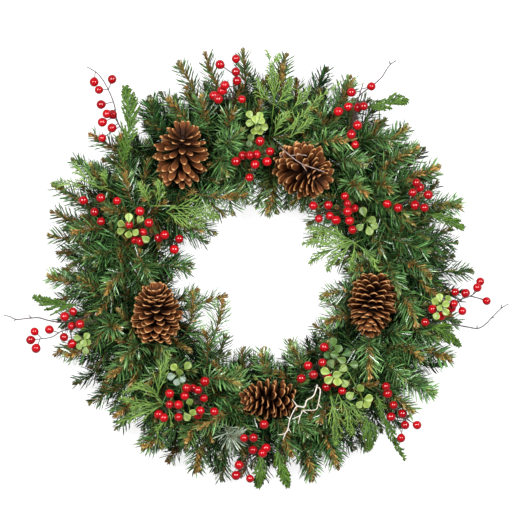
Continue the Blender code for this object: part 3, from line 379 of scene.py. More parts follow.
# Main wires as runs of (across, down, height), then each berry's middle.
BERRY_PICKS = {
    "upper_left": (
        [[(164, 170, 35), (150, 162, 37), (138, 150, 42), (126, 136, 54), (117, 121, 66),
          (114, 104, 74), (106, 85, 78), (97, 73, 80), (87, 67, 80)]],
        [(94, 82, 78), (99, 90, 84), (112, 79, 76), (101, 104.5, 80), (107, 114, 84),
         (112, 114, 70), (102, 122, 74), (112, 128, 82), (102, 138, 76)]),
    "top": (
        [[(237, 135, 35), (235, 120, 60), (232, 104, 84), (234, 90, 90), (236, 76, 88)]],
        [(220, 65, 92), (236, 59, 88), (236, 72.5, 97), (237, 81, 88), (225, 86, 100),
         (222, 91, 88), (214, 96, 90), (218.5, 100, 101), (242, 100, 98)]),
    "upper_centre": (
        [[(252, 152, 35), (252, 155, 60), (253, 158, 82)]],
        [(260, 142, 106), (270, 152, 106), (250, 156, 108), (243, 156, 98), (256.5, 155, 98),
         (267, 162, 100), (255, 165, 103), (236, 162, 104), (249.5, 178, 98)]),
    "top_right": (
        [[(335, 154, 35), (342, 142, 56), (350, 128, 78), (354, 113, 90), (358, 98, 94),
          (364, 92, 96), (371, 87, 96), (377, 82, 95), (382, 77, 94), (385, 72, 94),
          (390, 65, 93), (396, 61, 92)],
         [(359, 96, 94), (363, 83, 92)], [(390, 65, 93), (389, 62, 92)]],
        [(351, 93, 100), (371, 87, 96), (363, 107, 104), (358, 108, 92), (348, 107, 86),
         (338, 112, 94), (357, 126, 100), (351, 135, 96), (355, 145, 88)]),
    "right": (
        [[(383, 211, 35), (392, 208, 60), (402, 204, 78), (411, 198, 84), (416, 192, 86)]],
        [(416, 183, 94), (419.5, 187.5, 82), (412, 193, 98), (428, 195, 92), (415, 205.5, 84),
         (424, 208, 94), (387, 204, 84), (398, 208, 80)]),
    "centre_right": (
        [[(350, 200, 35), (346, 206, 58), (338, 210, 80)], [(338, 210, 80), (318, 212, 84)],
         [(338, 210, 80), (347, 216, 86)]],
        [(344.5, 196.5, 96), (313, 206, 98), (328, 205.5, 98), (347, 204, 104), (354, 208.5, 90),
         (347, 212, 112), (318.5, 219, 98), (329.5, 216, 100), (335.5, 220.5, 108),
         (349, 221, 102), (352, 230, 98)]),
    "far_right": (
        [[(398, 300, 35), (410, 304, 60), (424, 310, 74), (440, 308, 84), (455, 301, 86),
          (470, 296, 86), (478, 290, 86)], [(470, 296, 86), (486, 300, 82)],
         [(455, 301, 86), (466, 302, 86)]],
        [(480, 281.5, 86), (476.5, 287.5, 96), (465, 293, 92), (454.5, 292, 94),
         (453, 303.5, 98), (451, 308, 86), (486.5, 301, 84), (462, 311, 88), (432, 309, 100),
         (440.5, 316, 92), (424.5, 322, 98)]),
    "lower_right": (
        [[(359, 374, 35), (370, 382, 56), (382, 394, 68), (394, 408, 72), (404, 418, 76)]],
        [(385.5, 386, 96), (387.5, 393.5, 84), (393.5, 405, 82), (391, 417, 80), (403, 414, 72),
         (405, 425, 84), (417, 425, 84), (401, 438, 84)]),
    "lower_centre": (
        [[(318, 380, 35), (318, 374, 60), (318, 366, 78), (320, 356, 82)],
         [(318, 374, 60), (330, 382, 68)]],
        [(324, 347, 90), (322, 362, 104), (313, 374, 106), (301, 378, 100), (308, 365.5, 86),
         (328, 377, 88), (335, 382.5, 84), (326.5, 387, 80), (342, 391, 82)]),
    "bottom": (
        [[(236, 412, 35), (240, 426, 58), (246, 440, 72), (249, 455, 74), (246, 466, 74)]],
        [(264, 423.5, 104), (244, 437.5, 96), (253.5, 437, 100), (253, 450, 84),
         (262.5, 452.5, 96), (266, 448, 84), (239, 465, 84), (236, 475.5, 80), (250, 478.5, 84)]),
    "lower_left": (
        [[(190, 394, 35), (189, 397, 62), (188, 400, 78)], [(188, 400, 78), (170, 404, 82)],
         [(188, 400, 78), (203, 404, 84)]],
        [(170, 393, 100), (187, 387.5, 102), (193, 388, 92), (198.5, 389.5, 103),
         (185, 395.5, 94), (170, 404, 98), (179, 404, 102), (179, 416.5, 98), (164, 417.5, 90),
         (158.5, 414.5, 80), (200.5, 410, 102), (198, 414.5, 91), (214.5, 411, 100),
         (205, 381, 94), (204, 398, 84)]),
    "left": (
        [[(122, 306, 35), (108, 314, 58), (92, 322, 74), (76, 328, 78), (62, 331, 80),
          (52, 337, 80), (40, 339, 79)]],
        [(65, 316.5, 90), (73, 311.5, 84), (80.5, 324, 94), (72, 326, 84), (49.5, 329.5, 86),
         (34.5, 331.5, 80), (30.5, 340, 80), (36, 348.5, 80), (64.5, 337, 92), (72, 344, 80)]),
    "upper_side": (
        [[(128, 222, 35), (118, 216, 56), (106, 208, 68), (95, 203, 72)]],
        [(83.5, 200.5, 86), (101, 198, 86), (94.5, 212, 80), (101, 221.5, 80), (117, 201, 82)]),
    "centre_left": (
        [[(146, 236, 35), (145, 232, 60), (144, 228, 80)], [(145, 232, 60), (158, 236, 74),
                                                            (172, 242, 76)]],
        [(140.5, 211.5, 102), (130, 225, 104), (149.5, 223, 106), (143.5, 232.5, 98),
         (141, 241.5, 94), (135, 240, 84), (159, 238, 88), (165, 235, 98), (179.5, 239, 88),
         (174.5, 249.5, 84)]),
}


def route(run):
    """Metres from a run of (across, down, height)."""
    return at(*np.array(run, float).T)


def smooth(points, steps):
    """A curve through given points: at each, the ends' and neighbours' four-point blend."""
    points = np.asarray(points, float)
    if len(points) == 2:
        share = np.linspace(0, 1, steps)[:, None]
        return points[0] * (1 - share) + points[1] * share
    padded = np.concatenate([2 * points[:1] - points[1:2], points, 2 * points[-1:] - points[-2:-1]])
    where = np.linspace(0, len(points) - 1.000001, steps)
    k = where.astype(int)
    t = (where - k)[:, None]
    a, b, c, d = (padded[k + n] for n in range(4))
    return 0.5 * (2 * b + (c - a) * t + (2 * a - 5 * b + 4 * c - d) * t ** 2
                  + (3 * b - a - 3 * c + d) * t ** 3)


def flat_normal(path):
    """The direction in which a path varies least, which is square to it all along."""
    return np.linalg.svd(path - path.mean(axis=0))[2][2]


def wire(points, radius, end_radius, steps, sides=6, tone=(0.0, 0.5, 0.0, 1.0)):
    """A tapering round wire along a smooth curve through a few points."""
    path = smooth(points, steps)
    size = np.linspace(radius, end_radius, steps)[None]
    return loft(path, flat_normal(path), size, size, around=sides, tone=tone)


def berries(centres, joints):
    """Balls drawn out a little to their wires: rings of latitude v about the way to the wire.

    At latitude v the ring's radius is R sin v, and its middle lies -R cos v along that way,
    with 0.12 R times the sixth power of cos v added on the side of the wire.
    """
    steps = 11
    v = np.linspace(0.14, math.pi - 0.14, steps)
    toward = unit(joints - centres)[:, None]
    climb = -np.cos(v) + np.where(np.cos(v) < 0, 0.12 * np.cos(v) ** 6, 0.0)
    rng = np.random.default_rng(len(centres))
    radius = BERRY_RADIUS * rng.uniform(0.9, 1.06, (len(centres), 1))
    path = centres[:, None] + toward * (climb * radius)[..., None]
    size = np.sin(v) * radius
    hint = np.cross(toward[:, 0], (0.31, 0.95, 0.05))
    tone = rng.uniform(0, 1, (len(centres), 1, 1)) * np.ones((1, steps, 4))
    return loft(path, hint, size, size, around=14, tone=tone)


berry_lacquer = Finish("red_berry_lacquer", {
    "Roughness": 0.5, "Specular IOR Level": 0.05, "Coat Weight": 1.0, "Coat IOR": 1.55,
    "Coat Roughness": 0.04})
berry_lacquer.colour((0.29, 0.001, 0.004), ("Red", (0.45, 0.002, 0.007)))
berry_lacquer.roughness(berry_lacquer.mottle(160.0), 0.42, 0.55)
berry_lacquer.bump(220.0, 0.04, 0.0003)
pick_wrap = Finish("dark_wrapped_wire", {"Roughness": 0.6})
pick_wrap.colour((0.02, 0.009, 0.009), (pick_wrap.mottle(300.0), (0.06, 0.024, 0.022)))
pick_wrap.bump(1200.0, 0.4, 0.0003)
# Points that needles keep away from, and how far: berries, leaves and the fronds' ribs.
KEEP_OFF = []
for name, (runs, spots) in BERRY_PICKS.items():
    centres = route(spots)
    KEEP_OFF.append((centres, BERRY_RADIUS))
    mains = [route(run) for run in runs]
    # Stalks start past the foot of the main wire, and further up where it forks.
    stock = np.concatenate([smooth(m, 40)[12 if len(runs) > 1 and m is mains[0] else 4:]
                            for m in mains])
    far = np.linalg.norm(stock[None] - centres[:, None], axis=2)
    joints = stock[np.argmin(np.abs(far - BERRY_STALK) + 0.3 * far, axis=1)]
    stems = [wire(m, PICK_WIRE, 0.62 * PICK_WIRE, 24) for m in mains]
    for centre, joint in zip(centres, joints):
        knee = joint * 0.45 + centre * 0.55 - STALK_SAG * UP
        stems.append(wire([joint, knee, centre], BERRY_WIRE, BERRY_WIRE, 8, sides=5))
    make_piece("berries_" + name, [berries(centres, joints)], berry_lacquer,
               "berry_pick_" + name)
    make_piece("berry_wires_" + name, stems, pick_wrap, "berry_pick_" + name)
PICKED = np.concatenate([centres for centres, _ in KEEP_OFF])

# Seven sprigs of artificial boxwood: small oval leaves pressed from pale green plastic film,
# cupped along the middle, in pairs up a thin green stem that is pushed into the greenery.
LEAF_THICK = 0.35 * MM
LEAF_NARROWEST = 0.4 * MM
# A tilted leaf is this much longer than it looks, and lies up to so many mm above its stem.
LEAF_SCALE = 1.12
LEAF_PILE = 5
LEAF_KEEP_OFF = 5.4 * MM
# A leaf whose middle is so near a berry's lies so far above the berry.
BESIDE_BERRY = 11 * MM
ABOVE_BERRY = 2 * MM
# Half a wire's thickness at its two ends, and how far a leaf's stalk sags, as a share of it.
SPRIG_STEM = (0.9 * MM, 0.6 * MM)
LEAF_STALK = (0.5 * MM, 0.4 * MM)
STALK_SLACK = 0.3
# The stem's run, then leaves as (across, down, way they point in degrees, length mm, paleness).
LEAF_SPRIGS = {
    "top": (
        [(258, 134, 35), (257, 130, 70), (256, 124, 97)],
        [(250, 116, 115, 12, .7), (249.5, 124, 170, 12, .6), (255.3, 120.8, 100, 12, 1),
         (259.4, 117, 70, 12, .8), (261, 122, 25, 11, .9), (263.5, 127, -15, 12, .8),
         (260.2, 131.4, -60, 12, 1), (254, 131.4, -110, 12, 1), (257, 127, -80, 10, .9),
         (251.5, 136, -120, 12, .3), (249.3, 142.5, -100, 12, .1)]),
    "upper_right": (
        [(372, 216, 35), (369, 217, 66), (366, 221, 90)],
        [(363.5, 212, 110, 14, .4), (372, 220, 10, 13, .5), (369, 231, -70, 14, .5),
         (360, 227, -140, 12, .3), (374, 226, -20, 12, .4)]),
    "right": (
        [(400, 290, 35), (415, 293, 62), (430, 300, 88), (440, 305, 101)],
        [(434, 301, 150, 13, .8), (439, 298, 100, 12, 1), (444, 304, 20, 12, .9),
         (444, 311, -50, 12, .9), (447.5, 297.5, 50, 11, .8), (435, 315.5, -110, 12, .7),
         (438, 308, -120, 10, .8)]),
    "left": (
        [(133, 233, 35), (131, 231, 66), (130, 227, 88)],
        [(130, 218.5, 90, 13, 1), (122, 224, 160, 12, .8), (121, 231, 200, 12, .8),
         (129, 235.5, -100, 13, .9), (137, 233, -30, 12, .8), (140, 220, 60, 12, 1),
         (146, 239, -35, 12, .5)]),
    "lower_side": (
        [(124, 318, 35), (110, 327, 56), (95, 336, 70), (86, 340, 84)],
        [(78, 338, 170, 11, .5), (86.5, 336.5, 60, 11, .6), (84, 343, 240, 12, .6),
         (80, 346, 220, 11, .5), (89, 343, -40, 11, .5), (86, 350, -90, 11, .4)]),
    "lower_left": (
        [(176, 362, 35), (178, 366, 66), (179, 373, 90)],
        [(174, 367.5, 140, 13, 1), (171.5, 376, 190, 13, 1.5), (177, 382, -110, 12, 1.6),
         (183, 379, -40, 11, 1.5), (187.5, 366, 50, 13, .5), (180, 371, 80, 12, .4),
         (187, 416, -60, 13, .6), (193.5, 411, 70, 12, .8), (190, 400.5, 110, 12, .4)]),
    "lower_right": (
        [(347, 368, 35), (340, 360, 66), (345, 367, 90), (352, 379, 94), (360, 393, 90),
         (365, 403, 86)],
        [(325.5, 371, 160, 14, .9), (329, 379, 210, 14, .8), (337, 381.5, -90, 15, 1),
         (342.5, 368.5, 30, 13, .5), (337.5, 374, 190, 13, .6), (344.5, 383, -60, 13, .6),
         (333, 342, 100, 14, .1), (338, 349, 60, 14, .1), (334, 354, 170, 13, .1),
         (341, 359.7, -20, 13, .2), (354, 364, 0, 14, .1), (349.5, 395, 215, 14, .6),
         (360.5, 387, 40, 14, .5), (368.5, 398, 15, 14, .8), (367, 405, -60, 14, .7),
         (359.5, 404, 230, 12, .6), (327, 355, 150, 13, .0), (331, 364, 120, 13, .2),
         (346, 353, 20, 13, .0)]),
}


def leaves(roots, headings, lengths, tilt, tone):
    """Blunt blades, narrow at the foot, cupped along the middle and drooping to the tip.

    At share t along it half a blade's width is 0.36 length * sin(pi t^1.6)^0.8, and it has
    dropped by 0.16 length * t^2.
    """
    steps = 12
    t = 1 - (1 - np.linspace(0.03, 0.985, steps)) ** 1.25
    ahead = swing(tilt, compass(headings), UP)
    line = roots[:, None] + ahead[:, None] * (lengths[:, None] * t)[..., None]
    line = line - UP * (0.16 * lengths[:, None] * t ** 2)[..., None]
    wide = 0.36 * lengths[:, None] * np.sin(math.pi * t ** 1.6)[None] ** 0.8 + LEAF_NARROWEST
    shades = np.zeros((len(roots), steps, 4))
    shades[..., 0] = t
    shades[..., 1:3] = tone[:, None]
    return loft(line, UP, wide, LEAF_THICK, 0.42 * wide, around=8, tone=shades,
                edged=True)


# Pale by the tone's green, flecked, darker along the middle as painted shade in the cupped blade,
# paler at the sides as a painted highlight where the cup turns up, frosted where the green is
# past 1, and dark at the foot.
leaf_film = Finish("boxwood_leaf_film", {"Roughness": 0.42})
leaf_film.colour(
    (0.026, 0.078, 0.016),
    ("Green", (0.34, 0.44, 0.06)),
    (leaf_film.times(leaf_film.mottle(180.0, 0.3), "Green"), (0.33, 0.42, 0.18)),
    # painted shade along the cupped middle of the blade
    (leaf_film.span("Blue", 0.1, 0.9, 0.5, 0.0), (0.06, 0.14, 0.015)),
    # painted highlight on the blade's up-turned sides
    (leaf_film.times(leaf_film.span("Blue", 0.7, 1.0, 0.0, 0.45), "Green"), (0.50, 0.62, 0.26)),
    (leaf_film.span("Green", 1.05, 1.5), (0.17, 0.23, 0.17)),
    (leaf_film.span("Red", 0.45, 0.0, 0.0, 0.6), (0.10, 0.2, 0.03)))
leaf_film.roughness(leaf_film.mottle(240.0), 0.32, 0.55)
leaf_film.bump(420.0, 0.25, 0.0004)
for seed, (name, (run, spots)) in enumerate(LEAF_SPRIGS.items()):
    rng = np.random.default_rng(40 + seed)
    spots = np.array(spots, float)
    stem = smooth(route(run), 30)
    headings = np.radians(spots[:, 2])
    middles = at(spots[:, 0], spots[:, 1], 0.0)
    # Each leaf joins the nearest point of the stem past its foot.
    near = np.linalg.norm(stem[None, 12:, :2] - middles[:, None, :2], axis=2).argmin(axis=1) + 12
    lengths = LEAF_SCALE * spots[:, 3] * MM
    middles[:, 2] = stem[near, 2] + rng.uniform(0, LEAF_PILE, len(spots)) * MM
    beside = np.linalg.norm(middles[:, None, :2] - PICKED[None, :, :2], axis=2) < BESIDE_BERRY
    above = np.where(beside, PICKED[None, :, 2] + BERRY_RADIUS + ABOVE_BERRY, 0).max(axis=1)
    middles[:, 2] = np.maximum(middles[:, 2], above)
    roots = middles - 0.5 * lengths[:, None] * compass(headings)
    tilt = rng.uniform(-0.1, 0.75, len(spots))
    tone = np.stack([spots[:, 4], rng.uniform(0, 1, len(spots))], -1)
    parts = [leaves(roots, headings, lengths, tilt, tone), wire(stem[::5], *SPRIG_STEM, 20)]
    for root, joint in zip(roots, stem[np.maximum(near - 3, 0)]):
        knee = root * 0.5 + joint * 0.5 - STALK_SLACK * np.linalg.norm(root - joint) * UP
        parts.append(wire([joint, knee, root], *LEAF_STALK, 8, 4))
    KEEP_OFF.append((middles, LEAF_KEEP_OFF))
    make_piece("boxwood_" + name, parts, leaf_film, "boxwood_sprig_" + name)

# Cedar fronds: flat fans moulded in bright green plastic, with short shoots set close on both
# sides of a rib and scaly shoots on those, each frond on a wire stem pushed into the greenery.
FROND_STEM = (1.1 * MM, 0.8 * MM)
BERRY_GAP = 1.0 * MM
CEDAR_SHOOT = 1.15 * MM
CEDAR_LEAN = 0.44
CEDAR_SPACING = 1.2
# The small shoots' gap and length.
CEDAR_TWIGLETS = (3.6 * MM, 5.4 * MM)
# The stem's run, the rib's run, half width in mm, gap between shoots in mm.
CEDAR = {
    "frond_upper_left": ([(158, 174, 35), (140, 176, 56), (124, 166, 78)],
        [(123, 166, 78), (126, 146, 90), (131, 124, 92), (129, 104, 88), (125, 87, 84)], 13, 3.4),
    "frond_top_right": ([(349, 172, 35), (358, 150, 58), (367, 120, 76), (371, 101, 86)],
        [(366, 108, 88), (382, 105, 92), (396, 101, 90), (407, 101, 84)], 11, 3.4),
    "frond_right": ([(393, 233, 35), (412, 226, 62), (430, 217, 78)],
        [(428, 214, 80), (442, 218, 84), (453, 222, 81), (464, 229, 76)], 9, 3.2),
    "frond_left": ([(118, 290, 35), (100, 297, 58), (80, 303, 66)],
        [(76, 305, 68), (62, 306, 72), (48, 303, 76), (33, 297, 74)], 13, 3.6),
    "frond_lower_right": ([(340, 391, 35), (350, 402, 60), (364, 414, 76)],
        [(366, 416, 80), (369, 427, 84), (370, 438, 82), (369, 450, 76)], 14, 2.8),
    "frond_bottom": ([(262, 414, 35), (264, 424, 38), (263, 440, 58), (261, 455, 74)],
        [(262, 452, 74), (260, 466, 78), (259, 477, 77), (258, 488, 72)], 11, 3.0),
    "frond_bottom_right": ([(284, 412, 35), (283, 430, 56), (277, 452, 72)],
        [(276, 448, 72), (280, 462, 76), (284, 475, 75), (288, 487, 70)], 11, 3.0),
    "frond_lower_side": ([(393, 322, 35), (410, 332, 56), (428, 327, 80)],
        [(428, 324, 82), (438, 328, 88), (449, 336, 86), (460, 346, 80)], 13, 3.4),
    "strand_lower_right": ([(364, 368, 35), (370, 380, 44), (376, 392, 60), (376, 396, 78)],
        [(376, 394, 78), (383, 413, 84), (393, 437, 76), (406, 462, 62)], 7, 4.5),
}


def past_berries(lines):
    """True for each line that stays 1 mm or more from every berry at all of its points."""
    gaps = np.linalg.norm(lines[:, :, None] - PICKED, axis=-1)
    return gaps.min(axis=(1, 2)) > BERRY_RADIUS + BERRY_GAP


def fan(rng, rib_run, half_width, gap, thin, lean, sub_gap, sub_reach):
    """A flat frond: shoots on both sides of a rib, and shorter shoots on both sides of those.

    Shoots start every gap along the rib, lean ahead by the given angle, and reach out to the
    frond's outline, half width * sin(pi (0.2 + 0.77 s))^0.8 at share s. Theirs stand a sub gap
    apart and are up to 1.4 times the sub reach long.
    """
    span = np.linalg.norm(np.diff(smooth(rib_run, 30), axis=0), axis=1).sum()
    count = max(4, int(span / gap))
    rib = smooth(rib_run, count + 2)
    ahead = unit(np.gradient(rib, axis=0))
    flat = unit(np.cross(UP, ahead))
    share = np.arange(1, count + 1) / (count + 1)
    level = np.repeat(share, 2)
    hand = np.tile([1.0, -1.0], count)
    base = np.repeat(rib[1:-1], 2, axis=0)
    main, out = np.repeat(ahead[1:-1], 2, axis=0), np.repeat(flat[1:-1], 2, axis=0) * hand[:, None]
    outline = np.sin(math.pi * (0.2 + 0.77 * level)) ** 0.8
    reach = half_width * outline * rng.uniform(0.65, 1.25, len(level))
    tilt = lean + rng.uniform(-0.2, 0.25, len(level))
    aim = swing(tilt, main, out)
    aim[:, 2] += rng.uniform(-0.22, 0.16, len(level))
    reach = np.minimum(reach / np.sin(lean + 0.1), 0.45 * (1.03 - level) * span + 2.0 * MM)
    steps = 5
    t = np.linspace(0, 1, steps)
    line = base[:, None] + aim[:, None] * (reach[:, None] * t)[..., None]
    line = line + main[:, None] * (0.14 * reach[:, None] * t ** 2)[..., None]
    subs = max(2, int(half_width / sub_gap))
    where = (np.arange(subs) + 1) / (subs + 0.6)
    root = base[:, None] + aim[:, None] * (reach[:, None] * where)[..., None]
    root = root + main[:, None] * (0.14 * reach[:, None] * where ** 2)[..., None]
    hands = np.where(np.arange(subs) % 2, 1.0, -1.0)[:, None]
    twist = unit(np.cross(UP, aim))[:, None] * hands
    turn = rng.uniform(0.45, 0.8, root.shape[:2])
    way = swing(turn, aim[:, None], twist)
    size = sub_reach * (0.5 + 0.6 * (1 - where)) * rng.uniform(0.7, 1.25, root.shape[:2])
    size = np.minimum(size, 0.75 * reach[:, None])
    run = np.linspace(0, 1, 4)
    small = root[:, :, None] + way[:, :, None] * (size[..., None] * run)[..., None]
    small[..., 2] += rng.uniform(-1.0, 1.0, root.shape[:2])[..., None] * run * 2.5 * MM
    small = small.reshape(-1, 4, 3)
    # A shoot's half widths along it: it swells at its scales.
    knots = np.array([0.75, 1.1, 0.9, 1.15, 0.3])
    light = rng.uniform(0, 1, (len(line), 1))
    tone = np.stack(np.broadcast_arrays(0.6 * t, light, level[:, None], 1.0), -1)
    kept = past_berries(line)
    parts = [loft(line[kept], UP, thin * knots, 0.45 * thin * knots, around=4,
                  tone=tone[kept])]
    light = rng.uniform(0, 1, (len(small), 1))
    tone = np.stack(np.broadcast_arrays(np.linspace(0.4, 1, 4), light, 0.5, 1.0), -1)
    knots = np.array([0.8, 1.1, 0.95, 0.25])
    kept = past_berries(small) & np.repeat(kept, subs)
    parts.append(loft(small[kept], UP, 0.9 * thin * knots, 0.42 * thin * knots, around=4,
                      tone=tone[kept]))
    taper = np.linspace(1.1, 0.5, len(rib))[None] * thin
    parts.append(loft(rib, UP, taper, 0.6 * taper, around=6, tone=(0.2, 0.4, 0.1, 1)))
    return parts


cedar_green = Finish("cedar_frond_green", {"Roughness": 0.5})
cedar_green.colour(
    (0.010, 0.045, 0.004),
    ("Green", (0.10, 0.22, 0.008)),
    (cedar_green.times("Red", 0.35), (0.19, 0.33, 0.020)),
    (cedar_green.mottle(240.0, 0.45), (0.02, 0.075, 0.01)))
cedar_green.roughness(cedar_green.mottle(500.0), 0.4, 0.62)
cedar_green.bump(1100.0, 0.5, 0.0005)
for seed, (name, (stem, rib, half_width, gap)) in enumerate(CEDAR.items()):
    rng = np.random.default_rng(70 + seed)
    rib = route(rib)
    parts = fan(rng, rib, half_width * MM, CEDAR_SPACING * gap * MM, CEDAR_SHOOT, CEDAR_LEAN,
                *CEDAR_TWIGLETS)
    parts.append(wire(route(stem), *FROND_STEM, 16, tone=(0.0, 0.2, 0.0, 1)))
    KEEP_OFF.append((smooth(rib, 14), 0.55 * half_width * MM))
    make_piece("cedar_spray_" + name, parts, cedar_green, "cedar_" + name)

# Juniper: loose sprays of thread-thin forking twigs in paler green plastic, several from one
# wire stem, which is pushed into the greenery so that they lie over it.
JUNIPER_THREAD = 0.66 * MM
JUNIPER_LINK = (0.8 * MM, 0.6 * MM)
JUNIPER_SPACING = 1.5
# The small threads' gap and length.
JUNIPER_TWIGLETS = (6.0 * MM, 9.0 * MM)
# The threads' lean in radians, the stem's run, then fans as (run of the main thread, half width
# in mm, gap in mm).
JUNIPER = {
    "top": (0.36, [(272, 136, 35), (272, 120, 62), (274, 104, 82)], [
        ([(274, 104, 82), (275, 88, 92), (272, 76, 90), (270, 66, 86)], 17, 5.5),
        ([(271, 72, 88), (270, 62, 86), (268, 55, 83), (266, 49, 80)], 3, 6.0),
        ([(272, 66, 88), (276, 60, 87), (280, 54, 84)], 3, 6.0),
        ([(276, 106, 84), (286, 92, 92), (291, 78, 88)], 18, 5.0),
        ([(272, 104, 84), (262, 92, 90), (257, 78, 86)], 16, 5.0)]),
    "upper_right": (0.34, [(286, 140, 35), (289, 132, 66), (296, 124, 88)], [
        ([(284, 134, 88), (300, 118, 94), (318, 100, 94), (344, 80, 84)], 5, 7.0),
        ([(290, 138, 88), (302, 128, 94), (312, 118, 92)], 16, 4.6),
        ([(274, 136, 88), (280, 122, 94), (290, 112, 92)], 18, 4.6),
        ([(292, 110, 88), (300, 100, 92), (311, 85, 84)], 9, 6.0)]),
    "centre_left": (0.42, [(164, 208, 35), (168, 206, 60), (176, 206, 84)], [
        ([(170, 208, 84), (190, 209, 90), (204, 213, 88), (219, 218, 78)], 24, 4.6),
        ([(166, 212, 84), (184, 220, 90), (206, 226, 80)], 16, 4.8),
        ([(150, 206, 84), (146, 194, 92), (138, 182, 90)], 18, 5.0),
        ([(156, 206, 84), (160, 192, 92), (158, 180, 88)], 16, 5.0)]),
    "upper_side": (0.36, [(136, 206, 35), (118, 194, 56), (102, 187, 72)], [
        ([(102, 190, 74), (90, 181, 79), (80, 172, 80), (72, 161, 74)], 12, 6.0),
        ([(108, 186, 74), (104, 178, 82), (104, 171, 80)], 12, 5.0),
        ([(88, 186, 70), (70, 184, 76), (50, 184, 70)], 9, 7.0)]),
    "centre_right": (0.27, [(372, 236, 35), (364, 239, 62), (354, 243, 84)], [
        ([(354, 242, 84), (338, 240, 90), (320, 241, 88), (302, 244, 76)], 12, 4.6),
        ([(354, 243, 84), (338, 247, 90), (322, 254, 86), (309, 264, 74)], 12, 4.6),
        ([(352, 243, 86), (342, 252, 90), (332, 262, 84), (328, 271, 76)], 11, 4.6),
        ([(354, 244, 86), (354, 254, 90), (352, 263, 88), (350, 271, 84)], 10, 4.6),
        ([(356, 244, 86), (365, 251, 90), (373, 261, 88), (378, 271, 84)], 10, 5.0),
        ([(350, 240, 84), (336, 233, 90), (320, 231, 86), (306, 228, 76)], 9, 5.0)]),
    "lower_right": (0.3, [(330, 388, 35), (332, 397, 66), (335, 404, 82)], [
        ([(330, 396, 84), (334, 412, 90), (336, 430, 84), (335, 446, 74)], 13, 5.0),
        ([(338, 394, 84), (346, 410, 90), (350, 424, 86), (352, 436, 78)], 13, 5.0),
        ([(346, 400, 84), (356, 410, 88), (362, 422, 80)], 11, 5.0)]),
    "lower_left": (0.2, [(160, 374, 35), (158, 388, 60), (156, 398, 80)], [
        ([(163, 402, 82), (148, 404, 88), (134, 402, 86), (119, 398, 78)], 11, 4.4),
        ([(163, 405, 82), (148, 411, 88), (134, 416, 84), (117, 424, 74)], 12, 4.4),
        ([(162, 400, 82), (152, 392, 88), (140, 388, 84), (120, 393, 76)], 9, 4.8),
        ([(158, 396, 82), (160, 380, 88), (164, 366, 86), (170, 352, 80)], 15, 5.0),
        ([(166, 404, 82), (170, 414, 84), (160, 426, 80), (157, 434, 74)], 8, 6.0)]),
}
juniper_green = Finish("juniper_twig_green", {"Roughness": 0.42})
juniper_green.colour(
    (0.015, 0.07, 0.008),
    ("Green", (0.27, 0.44, 0.07)),
    (juniper_green.times("Red", 0.4), (0.36, 0.56, 0.12)),
    (juniper_green.mottle(150.0, 0.35), (0.06, 0.16, 0.03)))
juniper_green.bump(1100.0, 0.4, 0.0004)
for seed, (name, (lean, stem, fans)) in enumerate(JUNIPER.items()):
    rng = np.random.default_rng(90 + seed)
    parts = [wire(route(stem), *FROND_STEM, 16)]
    for run, half_width, gap in fans:
        rib = route(run)
        parts += fan(rng, rib, half_width * MM, JUNIPER_SPACING * gap * MM, JUNIPER_THREAD, lean,
                     *JUNIPER_TWIGLETS)
        parts.append(wire([at(*stem[-1]), rib[0]], *JUNIPER_LINK, 4))
        KEEP_OFF.append((smooth(rib, 12), 0.4 * half_width * MM))
    make_piece("juniper_" + name, parts, juniper_green, "juniper_frond_" + name)

# Four bare twigs, dried and wired in: two long dark ones that reach out sideways, a grey one
# bent over the upper right cone, and a whitewashed one that forks like coral.
SIDE_TWIG = 0.72
# Slot, half thickness in mm, dark and pale colours, then the stem's run and its side twigs'.
TWIGS = {
    "left": ("twig", 1.2, (0.03, 0.02, 0.02), (0.10, 0.07, 0.07), [
        [(120, 300, 35), (102, 309, 52), (82, 318, 66), (62, 322, 73), (49, 321, 76),
         (39, 318, 77), (31, 317.7, 77), (24.5, 319, 77), (16, 319, 77), (9, 316.5, 77),
         (3.5, 315.5, 77)],
        [(31, 317.7, 77), (28.5, 315, 80)], [(16, 319, 77), (13.5, 321.5, 75)]]),
    "right": ("twig", 1.2, (0.03, 0.022, 0.022), (0.10, 0.08, 0.085), [
        [(395, 312, 35), (415, 320, 58), (440, 325, 70), (455, 325, 74), (467, 326.5, 78),
         (478, 328, 80), (486, 323, 80), (491, 318, 80), (501, 308, 80), (508.5, 304, 80)],
        [(477, 328, 80), (477, 325, 82)], [(491, 318, 80), (494, 317.5, 84)],
        [(501, 308, 80), (501.5, 304.5, 82)]]),
    "white": ("white_twig", 1.15, (0.62, 0.52, 0.42), (0.88, 0.83, 0.76), [
        [(315, 388, 35), (316, 387, 64), (317, 385, 94), (313, 395, 102), (306, 400, 106),
         (304, 406, 109), (297, 405, 112), (293, 410, 110), (290, 418, 108), (288, 427, 103),
         (284.5, 434, 99), (283, 439, 96)],
        [(316, 387, 92), (320, 389, 96), (318, 403, 98), (315, 409, 98), (303, 410, 103),
         (300, 414, 104), (292, 418, 107)],
        [(297, 405, 112), (294, 401, 113), (292, 398, 114)],
        [(288, 429, 102), (284, 433, 100), (278, 434, 98)], [(288, 427, 103), (291, 432, 101)],
        [(300, 414, 104), (298, 423, 102)], [(303, 410, 103), (307, 413, 102)],
        [(318, 403, 98), (321, 407, 97)], [(290, 418, 108), (287, 416, 108)]]),
    "grey": ("twig", 1.15, (0.18, 0.11, 0.09), (0.42, 0.31, 0.27), [
        [(281, 146, 35), (280, 147, 70), (281, 149, 112), (290, 157, 130), (300, 164, 136),
         (312, 169, 136), (324, 173, 130)],
        [(290, 157, 130), (298, 156, 137), (306, 157, 138)], [(300, 164, 136), (306, 172, 134)],
        [(285, 152, 118), (280, 158, 120)]]),
}
